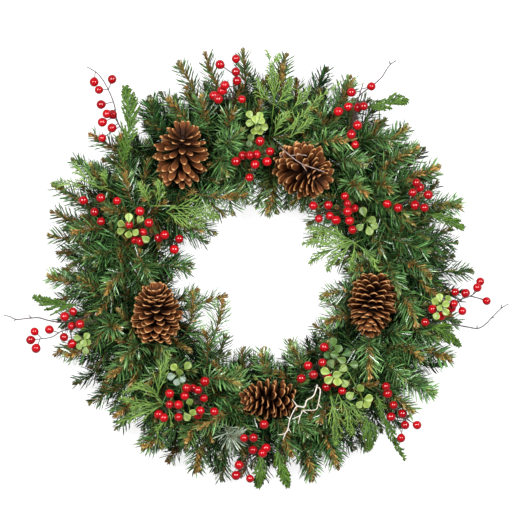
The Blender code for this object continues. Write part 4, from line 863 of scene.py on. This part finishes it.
for seed, (name, (slot, thick, dark, pale, runs)) in enumerate(TWIGS.items()):
    bark = Finish(name + "_twig_bark", {"Roughness": 0.75})
    bark.colour(dark, (bark.mottle(260.0), pale))
    bark.bump(800.0, 0.6, 0.0006)
    rng = np.random.default_rng(20 + seed)
    parts = []
    for k, run in enumerate(runs):
        spots = route(run)
        spots[2:-1] += rng.uniform(-0.7, 0.7, spots[2:-1].shape) * MM
        size = thick * MM * (1 if k == 0 else SIDE_TWIG)
        parts.append(wire(spots, size, 0.55 * size, 7 * len(run), sides=6))
    make_piece("bare_twig_" + name, parts, bark, "twig_" + name)

# The greenery: twelve bundles of artificial fir tips, each a wire stem with flat needles cut
# from green film twisted into it, with short brown ones at its heart and tip, wound on the ring.
BUNDLES = 12
CORE_RADIUS = 184 * MM
CORE_HEIGHT = 18 * MM
CORE_STEMS = 7
CORE_NEEDLES = 200
STEM = 1.0 * MM
LOWEST = 1.2 * MM
NEEDLE_LENGTH = 25 * MM
NEEDLE_WIDTH = 0.84 * MM
# Beyond this distance from the ring's middle needles get wider, until this much further out.
WIDER_FROM, WIDER_OVER = 235 * MM, 40 * MM
# A needle's lean from the stem in degrees: at its needled end's foot and how much less at the
# tip, for green needles and for the brown ones at the heart, and the range for the bud's.
GREEN_LEAN, HEART_LEAN, BUD_LEAN = (68, 19), (58, 20), (6, 42)
BUD_NEEDLES = 14
# How long the green, the heart's and the bud's needles are, as shares of the full length.
KIND_LENGTHS = [1.0, 0.48, 0.5]
# How much of a branch's end has needles, how far its stem arches up, and where it starts.
EDGE_NEEDLED, FACE_NEEDLED = 92 * MM, 72 * MM
EDGE_ARCH, ROW_ARCH = 16 * MM, 12 * MM
EDGE_ROOT, FACE_ROOT = 26 * MM, 30 * MM
ROOT_SCATTER = 12
# How much of a cone's width keeps needles off above it, from how far under its middle, and how
# much of its length and width does so as an egg.
OVER_CONE, UNDER_CONE, CONE_EGG = 0.46, 22 * MM, (0.47, 0.5)
# Branch tips that make the outline: across, down, height, lean in degrees, brown, light.
OUTER_TIPS = [
    (470, 272, 40, 0, .1, .2), (453, 243, 62, 4, 0, .1), (458, 203, 34, 0, .5, .4),
    (437, 168, 52, -3, .9, .3), (416, 147, 40, 2, .3, .4), (405, 128, 60, -4, .6, .3),
    (378, 104, 30, 3, .1, .2), (349, 79, 50, 0, .7, .4), (326, 70, 34, 5, 0, 0),
    (286, 57, 56, 6, .6, .3), (243, 52, 36, 0, .6, .5), (206, 56, 60, -4, .7, .3),
    (180, 64, 44, -5, .6, .4), (150, 99, 48, 6, .1, 0), (93, 136, 62, -6, .8, .2),
    (74, 160, 30, 0, .1, .4), (55, 186, 52, 5, .6, .5), (54, 213, 44, 6, .9, .3),
    (52, 236, 60, 0, .5, .3), (52, 277, 50, -4, .8, .3), (60, 320, 30, 0, .1, .2),
    (57, 353, 52, -3, .9, .3), (76, 383, 30, 3, .2, .1), (92, 402, 56, 6, .2, 0),
    (117, 428, 30, 0, .2, .2), (144, 447, 50, -3, .8, .3), (169, 461, 30, 4, .9, .4),
    (196, 469, 56, 0, .8, .3), (222, 479, 30, -4, .2, .3), (262, 481, 34, 3, .1, .2),
    (311, 478, 50, 0, .9, .3), (336, 466, 56, -3, .8, .3), (366, 449, 34, 3, .1, .4),
    (400, 426, 30, 0, .1, .2), (432, 392, 54, 4, .1, .5), (449, 358, 44, -3, .9, .4),
    (458, 322, 34, 0, .1, .4),
]
# Branch tips round the hole.
INNER_TIPS = [
    (340, 262, 46, 6, .2, .5), (325, 300, 60, -5, .4, .5), (318, 327, 50, 4, .5, .4),
    (291, 345, 56, -4, .6, .6), (264, 353, 50, 0, .6, .5), (243, 353, 46, 2, .6, .4),
    (224, 340, 60, 4, .2, .3), (222, 297, 62, -10, 1, .4), (194, 292, 60, 6, .8, .3),
    (188, 264, 60, -4, .1, .1), (203, 240, 40, 4, .1, .1), (232, 210, 60, -4, .3, .6),
    (268, 211, 56, 5, .8, .3), (312, 222, 40, -4, .3, .3), (212, 232, 50, 4, .2, .3),
    (287, 204, 46, 2, .2, .4), (246, 199, 58, 7, .3, .6), (258, 203, 50, -9, .5, .5),
    (277, 208, 60, 12, .3, .6), (294, 201, 52, -9, .4, .4), (238, 196, 64, -14, .3, .6),
    (303, 206, 46, 8, .2, .3), (221, 213, 62, 7, .4, .5),
]
# Branches seen on the face: where each bends forward, its tip, height, brown, light.
FACE_BRANCHES = [
    (152, 128, 150, 104, 70, .1, 0), (195, 128, 171, 102, 84, .9, .3),
    (206, 124, 202, 100, 84, .9, .4), (222, 128, 233, 113, 88, .9, .5),
    (124, 168, 122, 139, 84, 1, .4), (128, 205, 125, 174, 84, .9, .3),
    (166, 150, 170, 176, 80, .9, .6), (190, 203, 242, 195, 86, 1, .6),
    (222, 150, 240, 132, 84, .2, .8), (96, 225, 76, 232, 80, .8, .3),
    (126, 214, 107, 210, 82, .8, .4), (186, 226, 199, 230, 70, .8, .3),
    (281, 100, 282, 70, 80, .8, .4), (338, 106, 351, 84, 80, .7, .5),
    (330, 118, 313, 110, 84, .8, .5), (310, 138, 351, 141, 88, 1, .9),
    (375, 150, 404, 130, 78, .6, .3), (385, 165, 414, 150, 80, .8, .5),
    (402, 180, 434, 169, 76, .9, .3), (345, 178, 364, 193, 86, 1, .8),
    (376, 176, 388, 189, 82, .9, .4), (430, 200, 457, 206, 72, .6, .4),
    (276, 186, 268, 208, 70, .8, .3), (326, 228, 311, 240, 78, .7, .4),
    (395, 240, 425, 250, 78, .1, .1), (410, 256, 427, 274, 82, .9, .3),
    (78, 290, 52, 277, 70, .8, .4), (100, 292, 82, 280, 74, .7, .3),
    (118, 268, 108, 290, 84, 1, .4), (96, 326, 117, 328, 80, .9, .4),
    (92, 350, 70, 354, 76, .9, .3), (132, 362, 112, 374, 82, 1, .4),
    (140, 346, 125, 357, 82, .6, .6), (196, 332, 193, 296, 76, .8, .4),
    (216, 345, 222, 304, 76, 1, .6), (212, 348, 205, 334, 80, .8, .4),
    (210, 372, 236, 383, 84, .7, .9), (232, 411, 202, 426, 86, 1, .8),
    (198, 420, 188, 438, 80, .9, .3), (166, 440, 146, 446, 64, .9, .3),
    (196, 446, 197, 468, 66, .9, .3), (134, 402, 118, 414, 70, .9, .2),
    (220, 444, 238, 436, 86, .1, 1.6), (160, 368, 149, 382, 80, .8, .5),
    (345, 312, 329, 321, 80, 1, .5), (362, 262, 350, 272, 86, .9, .5),
    (342, 290, 328, 294, 76, .7, .5), (404, 290, 415, 322, 84, 1, .6),
    (368, 330, 369, 373, 90, 1, 1), (405, 345, 419, 357, 82, .9, .4),
    (430, 350, 447, 358, 72, .9, .4), (410, 386, 431, 392, 76, .1, .8),
    (392, 398, 410, 410, 76, .6, .5), (330, 404, 321, 419, 84, .9, .4),
    (298, 418, 306, 432, 80, .1, .4), (282, 430, 290, 452, 80, .9, .4),
    (308, 450, 312, 474, 66, .9, .3), (325, 436, 335, 460, 70, .9, .3),
    (268, 374, 262, 358, 76, .7, .6), (300, 364, 294, 351, 76, .7, .7),
    (110, 250, 88, 258, 78, .2, .2), (140, 258, 150, 276, 80, .1, .3),
    (168, 262, 186, 270, 76, .1, .1), (384, 196, 404, 214, 78, .2, .3),
    (392, 270, 398, 288, 80, .2, .6), (388, 340, 402, 330, 78, .1, .2),
    (386, 362, 402, 378, 80, .2, .7), (412, 330, 436, 338, 74, .2, .5),
    (240, 400, 238, 372, 78, .3, .6), (150, 420, 160, 444, 70, .3, .2),
    (340, 150, 362, 164, 80, .2, .6), (368, 128, 388, 142, 76, .2, .4),
    (186, 116, 200, 136, 74, .2, .4), (214, 152, 226, 172, 78, .2, .3),
    (100, 188, 92, 168, 70, .5, .4),
]
# Rows of branches between these: radius and height in mm, count, how far round from its tip a
# branch starts, needled length in mm, and whether its needles are plain ones. The plain rows
# are a dark under-layer of painted shade among the other branches.
BRANCH_ROWS = [
    (284, 22, 36, 0.22, 104, False), (270, 9, 40, 0.3, 84, True), (232, 18, 40, 0.8, 74, True),
    (276, 44, 44, 0.25, 92, False), (264, 64, 44, 0.3, 84, False), (258, 14, 60, 0.5, 84, True),
    (250, 34, 70, 0.6, 80, True), (238, 50, 60, 0.7, 70, True), (246, 68, 38, 0.35, 74, False),
    (226, 72, 34, 0.5, 66, False), (200, 70, 30, 0.5, 60, False), (172, 68, 24, 0.5, 60, False),
    (148, 62, 26, 0.45, 60, False), (146, 46, 40, 0.6, 60, True), (138, 30, 40, 0.6, 60, True),
    (132, 40, 28, 0.4, 60, False), (126, 14, 36, 0.4, 60, True),
]


def needles(root, aim, up, length, width, bend, tone, plain):
    """Flat pointed strips: a low three-sided section at the root and the middle, then a point.

    At share t along it a needle's middle is root + aim * length * t + bend * t squared. Its
    half width is 0.75, 1 and 0 times the width at t = 0, 0.78 and 1, its ridge 0.4 of that.
    Where plain is set the needle has one section only, at its root, 1.9 times as wide.
    """
    side = np.cross(aim, up)
    rows = []
    for share, swell in ((0.0, 1.9),) if plain else ((0.0, 0.75), (0.78, 1.0)):
        spot = root + aim * (length * share)[:, None] + bend * share ** 2
        out = side * (width * swell)[:, None]
        rows += [spot - out, spot + out, spot + up * (0.4 * width * swell)[:, None]]
    rows.append(root + aim * length[:, None] + bend)
    points = np.stack(rows, axis=1)
    points[..., 2] = np.maximum(points[..., 2], LOWEST)
    one = np.array([(0, 1, 2), (0, 3, 1), (1, 3, 2), (2, 3, 0)]) if plain else np.array([
        (0, 1, 2), (0, 3, 4), (0, 4, 1), (1, 4, 5), (1, 5, 2), (0, 2, 5), (0, 5, 3), (3, 6, 4),
        (4, 6, 5), (5, 6, 3)])
    size = 4 if plain else 7
    faces = one[None] + (np.arange(len(root)) * size)[:, None, None]
    shades = np.repeat(tone[:, None], size, axis=1)
    shades[..., 0] = np.array([0, 0, 0, 1] if plain else [0, 0, 0, .8, .8, .8, 1])
    return points.reshape(-1, 3), faces.reshape(-1, 3), shades.reshape(-1, 4)


def arch(t, start, bend, tip):
    """The curve (1-t)^2 start + 2 t (1-t) bend + t^2 tip."""
    return (1 - t) ** 2 * start + 2 * t * (1 - t) * bend + t ** 2 * tip


DISKS = np.concatenate([points for points, _ in KEEP_OFF])
DISK_SIZES = np.concatenate([np.full(len(points), size) for points, size in KEEP_OFF])


def clear_of_pieces(points):
    """False for a point in or above a berry, a leaf, a frond's rib or a cone.

    Each counts as an upright column of its own size, a cone as an oval one that starts under
    its middle. Lower down a cone is an egg as well: a point is in it where
    (along / 0.47 length)^2 + (off the axis / 0.5 width)^2 is less than 1.
    """
    flat = np.linalg.norm(points[:, None, :2] - DISKS[None, :, :2], axis=2)
    hidden = (flat < DISK_SIZES) & (points[:, None, 2] > DISKS[None, :, 2] - DISK_SIZES)
    free = ~hidden.any(axis=1)
    for spot, height, heading, length, width, *_ in CONES.values():
        away = points - at(*spot, height)
        way = unit(np.array(heading, float))
        along = away[:, :2] @ way[:2]
        across = np.linalg.norm(away[:, :2] - along[:, None] * way[:2], axis=1)
        reach = np.hypot(length * np.linalg.norm(way[:2]), 0.75 * width * abs(way[2]))
        inside = ((along / (OVER_CONE * MM * reach)) ** 2
                  + (across / (OVER_CONE * width * MM)) ** 2 < 1)
        deep = away @ way
        beside = np.linalg.norm(away - deep[:, None] * way, axis=1)
        within = ((deep / (CONE_EGG[0] * length * MM)) ** 2
                  + (beside / (CONE_EGG[1] * width * MM)) ** 2 < 1)
        free &= ~(inside & (away[:, 2] > -UNDER_CONE)) & ~within
    return free


def branch(rng, start, bend, tip, needled, brown, light, dense, dark, plain):
    """One fir tip: needles a golden turn apart round the end of a curved stem.

    At share s of the needled end a needle leans off the stem by its kind's two angles,
    first - second * s, and is shorter by 0.3 s^4. The heart's short brown ones stand on the
    side that faces the viewer, where fewer green ones cover them. How light a needle is, the
    tone's green, is dark * a random share^1.5 * (0.5 + 0.5 s), and below 62 mm, at height h,
    less by (h - 12 mm) / 50 mm, but not under 0.1. The dark factor, the darkening towards the
    foot of the needled end and the darkening of low needles are painted shade of the depths
    among the needles. Its blue is how brown it is.
    """
    span = np.linalg.norm(bend - start) + np.linalg.norm(tip - bend)
    first = max(0.12, 1 - needled / span)
    count = int(1.05 * dense * (1 - first) * span / MM)
    brush = (np.arange(count) + rng.uniform(0.2, 0.8, count)) / count
    t = first + (0.965 - first) * brush
    heart = int(count * 0.5 * (0.3 + brown))
    inner = first + (1 - first) * rng.uniform(0.15, 1, heart) ** 0.6
    t = np.concatenate([t, inner, np.full(BUD_NEEDLES, 1.0)])
    # Green needles are of kind 0, the heart's short brown ones 1, and the bud's at the tip 2.
    kind = np.repeat([0, 1, 2], [count, heart, BUD_NEEDLES])
    share = np.clip((t - first) / (1 - first), 0, 1)
    t = t[:, None]
    spot = arch(t, start, bend, tip)
    ahead = unit(2 * (1 - t) * (bend - start) + 2 * t * (tip - bend))
    side = unit(np.cross(ahead, unit(np.array([0.21, 0.13, 0.97]))))
    up = np.cross(side, ahead)
    turn = np.arange(len(t)) * GOLDEN_TURN + rng.uniform(-0.4, 0.4, len(t))
    turn = np.where(kind == 1, rng.uniform(0.02, 0.98, len(t)) * math.pi, turn)
    out = swing(turn, side, up)
    angles = [first_lean - less * share for first_lean, less in (GREEN_LEAN, HEART_LEAN)]
    lean = np.radians(np.choose(kind, angles + [rng.uniform(*BUD_LEAN, len(t))]))
    lean = lean + rng.uniform(-0.12, 0.12, len(t))
    aim = swing(lean, ahead, out)
    length = NEEDLE_LENGTH * (1.0 - 0.3 * share ** 4) * rng.uniform(0.82, 1.1, len(t))
    length = length * np.choose(kind, KIND_LENGTHS)
    roll = rng.uniform(-1.1, 1.1, len(t))
    face = unit(out - aim * (out * aim).sum(axis=1, keepdims=True))
    face = swing(roll, face, np.cross(aim, face))
    sway = (0.16 * ahead - 0.05 * out + rng.uniform(-0.07, 0.07, (len(t), 3))) * length[:, None]
    sway[:, 2] -= 0.05 * length
    away = np.linalg.norm(spot[:, :2] - CENTRE[:2], axis=1)
    width = NEEDLE_WIDTH * rng.uniform(0.8, 1.2, len(t)) * np.where(kind > 0, 1.05, 1.0)
    width = width * (1 + 0.3 * np.clip((away - WIDER_FROM) / WIDER_OVER, 0, 1))
    rust = np.choose(kind, [0.12 * brown * (share > 0.75), 0.35 + 0.65 * brown,
                            0.25 + 0.75 * brown])
    rust = np.clip(rust * rng.uniform(0.6, 1.2, len(t)), 0, 1)
    # Painted shade: needles lower down are darker, to a tenth at 12 mm and below.
    low = np.clip((spot[:, 2] - 12 * MM) / (50 * MM), 0.1, 1)
    shade = dark * rng.uniform(0, 1, len(t)) ** 1.5 * low
    # Painted shade: needles towards the foot of the needled end, inside the branch, are darker.
    shade = shade * (0.5 + 0.5 * share)
    tone = np.stack([t[:, 0], shade, rust, np.full(len(t), max(light, 0))], -1)
    covers = (kind == 0) & (out[:, 2] > 0.55) & (share > 0.25)
    keep = ~covers | (rng.uniform(0, 1, len(t)) > 0.85 * brown)
    for part in (0.1, 0.4, 0.7, 1.0):
        keep &= clear_of_pieces(spot + aim * (length * part)[:, None] + sway * part ** 2)
    chosen = (values[keep] for values in (spot, aim, face, length, width, sway, tone))
    parts = [needles(*chosen, plain)]
    rings = 5 if plain else 9
    stem = arch(np.linspace(0, 1, rings)[:, None], start, bend, tip)
    stem[:, 2] = np.maximum(stem[:, 2], LOWEST + STEM)
    if clear_of_pieces(stem).all():
        size = np.linspace(STEM, 0.5 * STEM, rings)[None]
        parts.append(loft(stem, flat_normal(stem), size, size, around=4, tone=(0, 0.2, 0.7, 0.1)))
    return parts


# Lighter by the tone's green, which holds painted shade of the depths among the needles as well
# as each needle's random tone, paler at the needle's tip by its alpha, frosted where the alpha
# is past 1, and brown by its blue.
fir_film = Finish("fir_needle_film", {"Roughness": 0.36, "Specular IOR Level": 0.75})
fir_film.colour(
    (0.004, 0.018, 0.007),
    ("Green", (0.105, 0.33, 0.072)),
    (fir_film.times("Alpha", "Red"), (0.26, 0.50, 0.16)),
    (fir_film.span("Alpha", 1.05, 1.5), (0.34, 0.42, 0.31)),
    ("Blue", fir_film.blend("Green", (0.12, 0.047, 0.010), (0.66, 0.36, 0.10))))
fir_film.roughness("Green", 0.14, 0.36)
fir_film.bump(500.0, 0.3, 0.0004)


def ring_root(rng, spot, lean, height=EDGE_ROOT):
    """Where a branch leaves the core: at its own bearing turned by the lean, a bit in or out."""
    away = spot - CENTRE
    bearing = math.atan2(away[1], away[0]) + lean
    radius = CORE_RADIUS + rng.uniform(-ROOT_SCATTER, ROOT_SCATTER) * MM
    return around_ring(bearing, radius, height)


def all_branches():
    """Each branch's start, bend and tip, needled length, brown, light, dense, dark and plain: dark
    scales its needles' lightness as painted shade.
    """
    rng = np.random.default_rng(11)
    made = []
    for x, y, z, lean, brown, light in OUTER_TIPS + INNER_TIPS:
        tip = at(x, y, z)
        start = ring_root(rng, tip, math.radians(lean))
        bend = (start + tip) / 2 + EDGE_ARCH * UP
        # Edge tips keep 0.62 of their lightness: painted shade along the low outline and round the
        # hole.
        made.append((start, bend, tip, EDGE_NEEDLED, brown, 0.6 * light, 1.1, 0.62, False))
    # A branch on the face bends a little under its tip's height, lower where its heart is brown.
    for x0, y0, x1, y1, z, brown, light in FACE_BRANCHES:
        tip, bend = at(x1, y1, z + 6), at(x0, y0, z + 2 - 12 * brown)
        start = ring_root(rng, bend, rng.uniform(-0.1, 0.1), FACE_ROOT)
        made.append((start, bend, tip, FACE_NEEDLED, brown, light, 1.18, 1.0, False))
    for radius, height, count, sweep, needled, plain in BRANCH_ROWS:
        for k in range(count):
            bearing = math.tau * (k + rng.uniform(0.1, 0.9)) / count
            tip = around_ring(bearing, radius * rng.uniform(0.96, 1.03) * MM,
                              height * rng.uniform(0.85, 1.1) * MM)
            start = ring_root(rng, tip, rng.choice((-1, 1)) * sweep * rng.uniform(0.3, 1))
            bend = (start + tip) / 2 + ROW_ARCH * UP
            brown, light = rng.uniform(0, 1) ** 1.3, rng.uniform(0, 0.7)
            # Painted shade by row: 0.15 for the plain under-rows, a dark layer that fills the gaps,
            # 0.48 for rows past 250 mm, 0.8 for the rest.
            dark = 0.15 if plain else 0.48 if radius > 250 else 0.8
            brown, light = (0.15 * brown, 0.0) if plain else (brown, 0.4 * light)
            made.append((start, bend, tip, needled * MM, brown, light, 1.0, dark, plain))
    return made


def core(rng, number):
    """The wound middle of a bundle: seven stems twisted round a slim oval, with short needles.

    Stem k runs along the ring at the phase 2 pi k / 7 + 12 * bearing of an oval of 20 by 9 mm,
    round a plain middle. A needle starts 3 mm outside that oval, on its lower half, and leans
    out of it, this way or that way along the ring.
    """
    turns = math.tau * (number + np.linspace(0.0, 1.0, 14)) / BUNDLES
    inner = loft(around_ring(turns, CORE_RADIUS, CORE_HEIGHT), UP, 17 * MM, 8 * MM,
                 around=8, tone=(0, 0, 0, 0))
    phase = math.tau * np.arange(CORE_STEMS)[:, None] / CORE_STEMS + BUNDLES * turns
    paths = around_ring(turns, CORE_RADIUS + 20 * MM * np.cos(phase),
                        CORE_HEIGHT + 9 * MM * np.sin(phase))
    wound = loft(paths, UP, 5.2 * MM * rng.uniform(0.8, 1.2, phase.shape), 4.6 * MM,
                 around=5, tone=(0, 0.22, 0.4, 0))
    bearing = math.tau * (number + rng.uniform(0, 1, CORE_NEEDLES)) / BUNDLES
    phase = math.pi * (1 + rng.uniform(-0.15, 1.15, CORE_NEEDLES))
    root = around_ring(bearing, CORE_RADIUS + 23 * MM * np.cos(phase),
                       CORE_HEIGHT + 12 * MM * np.sin(phase))
    away = compass(bearing)
    along = np.cross(UP, away) * rng.choice((-1.0, 1.0), CORE_NEEDLES)[:, None]
    out = swing(phase, away, UP)
    aim = unit(along + out * rng.uniform(0.2, 0.9, CORE_NEEDLES)[:, None])
    up = unit(out - aim * (out * aim).sum(axis=1, keepdims=True))
    none = np.zeros(CORE_NEEDLES)
    tone = np.stack([none, rng.uniform(0, 0.6, CORE_NEEDLES),
                     rng.uniform(0, 0.5, CORE_NEEDLES) ** 2, none], -1)
    length = NEEDLE_LENGTH * rng.uniform(0.6, 0.9, CORE_NEEDLES)
    bristles = needles(root, aim, up, length, none + NEEDLE_WIDTH, 0 * aim, tone, True)
    return [inner, wound, bristles]


BRANCHES = all_branches()
for number in range(BUNDLES):
    rng = np.random.default_rng(300 + number)
    parts = core(rng, number)
    for start, bend, tip, *manner in BRANCHES:
        away = tip - CENTRE
        if int((math.atan2(away[1], away[0]) % math.tau) / math.tau * BUNDLES) == number:
            parts += branch(rng, start, bend, tip, *manner)
    make_piece(f"fir_bundle_{number + 1:02d}", parts, fir_film,
               f"foliage_bundle_{number + 1:02d}", smooth_faces=False)

# The photographer's table: a plain white sheet, lit softly from all round, with two small
# softboxes near the camera, which looks straight down from far away.
PICTURE_SIZE = 512
FLOOR_SIZE = 25.0
# The floor's glow on the wreath, and as the camera sees it.
FLOOR_GLOW = (0.08, 0.88)
WORLD_LIGHT = 0.1
LAMP_SIZE, LAMP_POWER = 1.1, 101
CAMERA_HEIGHT = 4.2
DECORATION_HEIGHT = 80 * MM
SENSOR_WIDTH = 36.0
paper = Finish("white_paper_floor", {"Roughness": 0.9, "Emission Color": (1.0, 1.0, 1.0)})
paper.colour((0.25, 0.25, 0.25), (paper.mottle(2.0), (0.26, 0.26, 0.26)))
seen = paper.node("LightPath", {}, "Is Camera Ray")
paper.put(paper.shader.inputs["Emission Strength"], paper.span(seen, 0.0, 1.0, *FLOOR_GLOW))
floor_mesh = bpy.data.meshes.new("floor")
corners = [(-1, -1, 0), (1, -1, 0), (1, 1, 0), (-1, 1, 0)]
floor_mesh.from_pydata((np.array(corners) * FLOOR_SIZE).tolist(), [], [(0, 1, 2, 3)])
floor_mesh.materials.append(paper.material)
floor = bpy.data.objects.new("floor", floor_mesh)
bpy.context.scene.collection.objects.link(floor)

world = bpy.data.worlds.new("soft_white")
world.use_nodes = True
light = world.node_tree.nodes["Background"].inputs
light["Color"].default_value = (1.0, 1.0, 1.0, 1.0)
light["Strength"].default_value = WORLD_LIGHT
bpy.context.scene.world = world
bpy.context.scene.view_settings.view_transform = "Standard"


def softbox(name, spot):
    """A square lamp at a spot, facing the wreath's middle."""
    lamp = bpy.data.lights.new(name, "AREA")
    lamp.size = LAMP_SIZE
    lamp.energy = LAMP_POWER
    item = bpy.data.objects.new(name, lamp)
    item.location = spot
    ahead = unit(0.05 * UP - np.array(spot))
    side = unit(np.cross((0.0, 1.0, 0.0), -ahead))
    up = np.cross(-ahead, side)
    item.rotation_euler = Matrix(np.stack([side, up, -ahead], axis=1).tolist()).to_euler()
    bpy.context.scene.collection.objects.link(item)


softbox("softbox_left", (-1.44, 0.69, 2.53))
softbox("softbox_right", (1.44, 0.69, 2.53))

eye = bpy.data.cameras.new("camera")
eye.sensor_width = SENSOR_WIDTH
eye.lens = SENSOR_WIDTH * (CAMERA_HEIGHT - DECORATION_HEIGHT) / (PICTURE_SIZE * PICTURE_STEP)
eye.clip_end = 30.0
camera = bpy.data.objects.new("camera", eye)
camera.location = (0.0, (PICTURE_MIDDLE[1] - PICTURE_SIZE / 2) * PICTURE_STEP, CAMERA_HEIGHT)
bpy.context.scene.collection.objects.link(camera)
bpy.context.scene.camera = camera
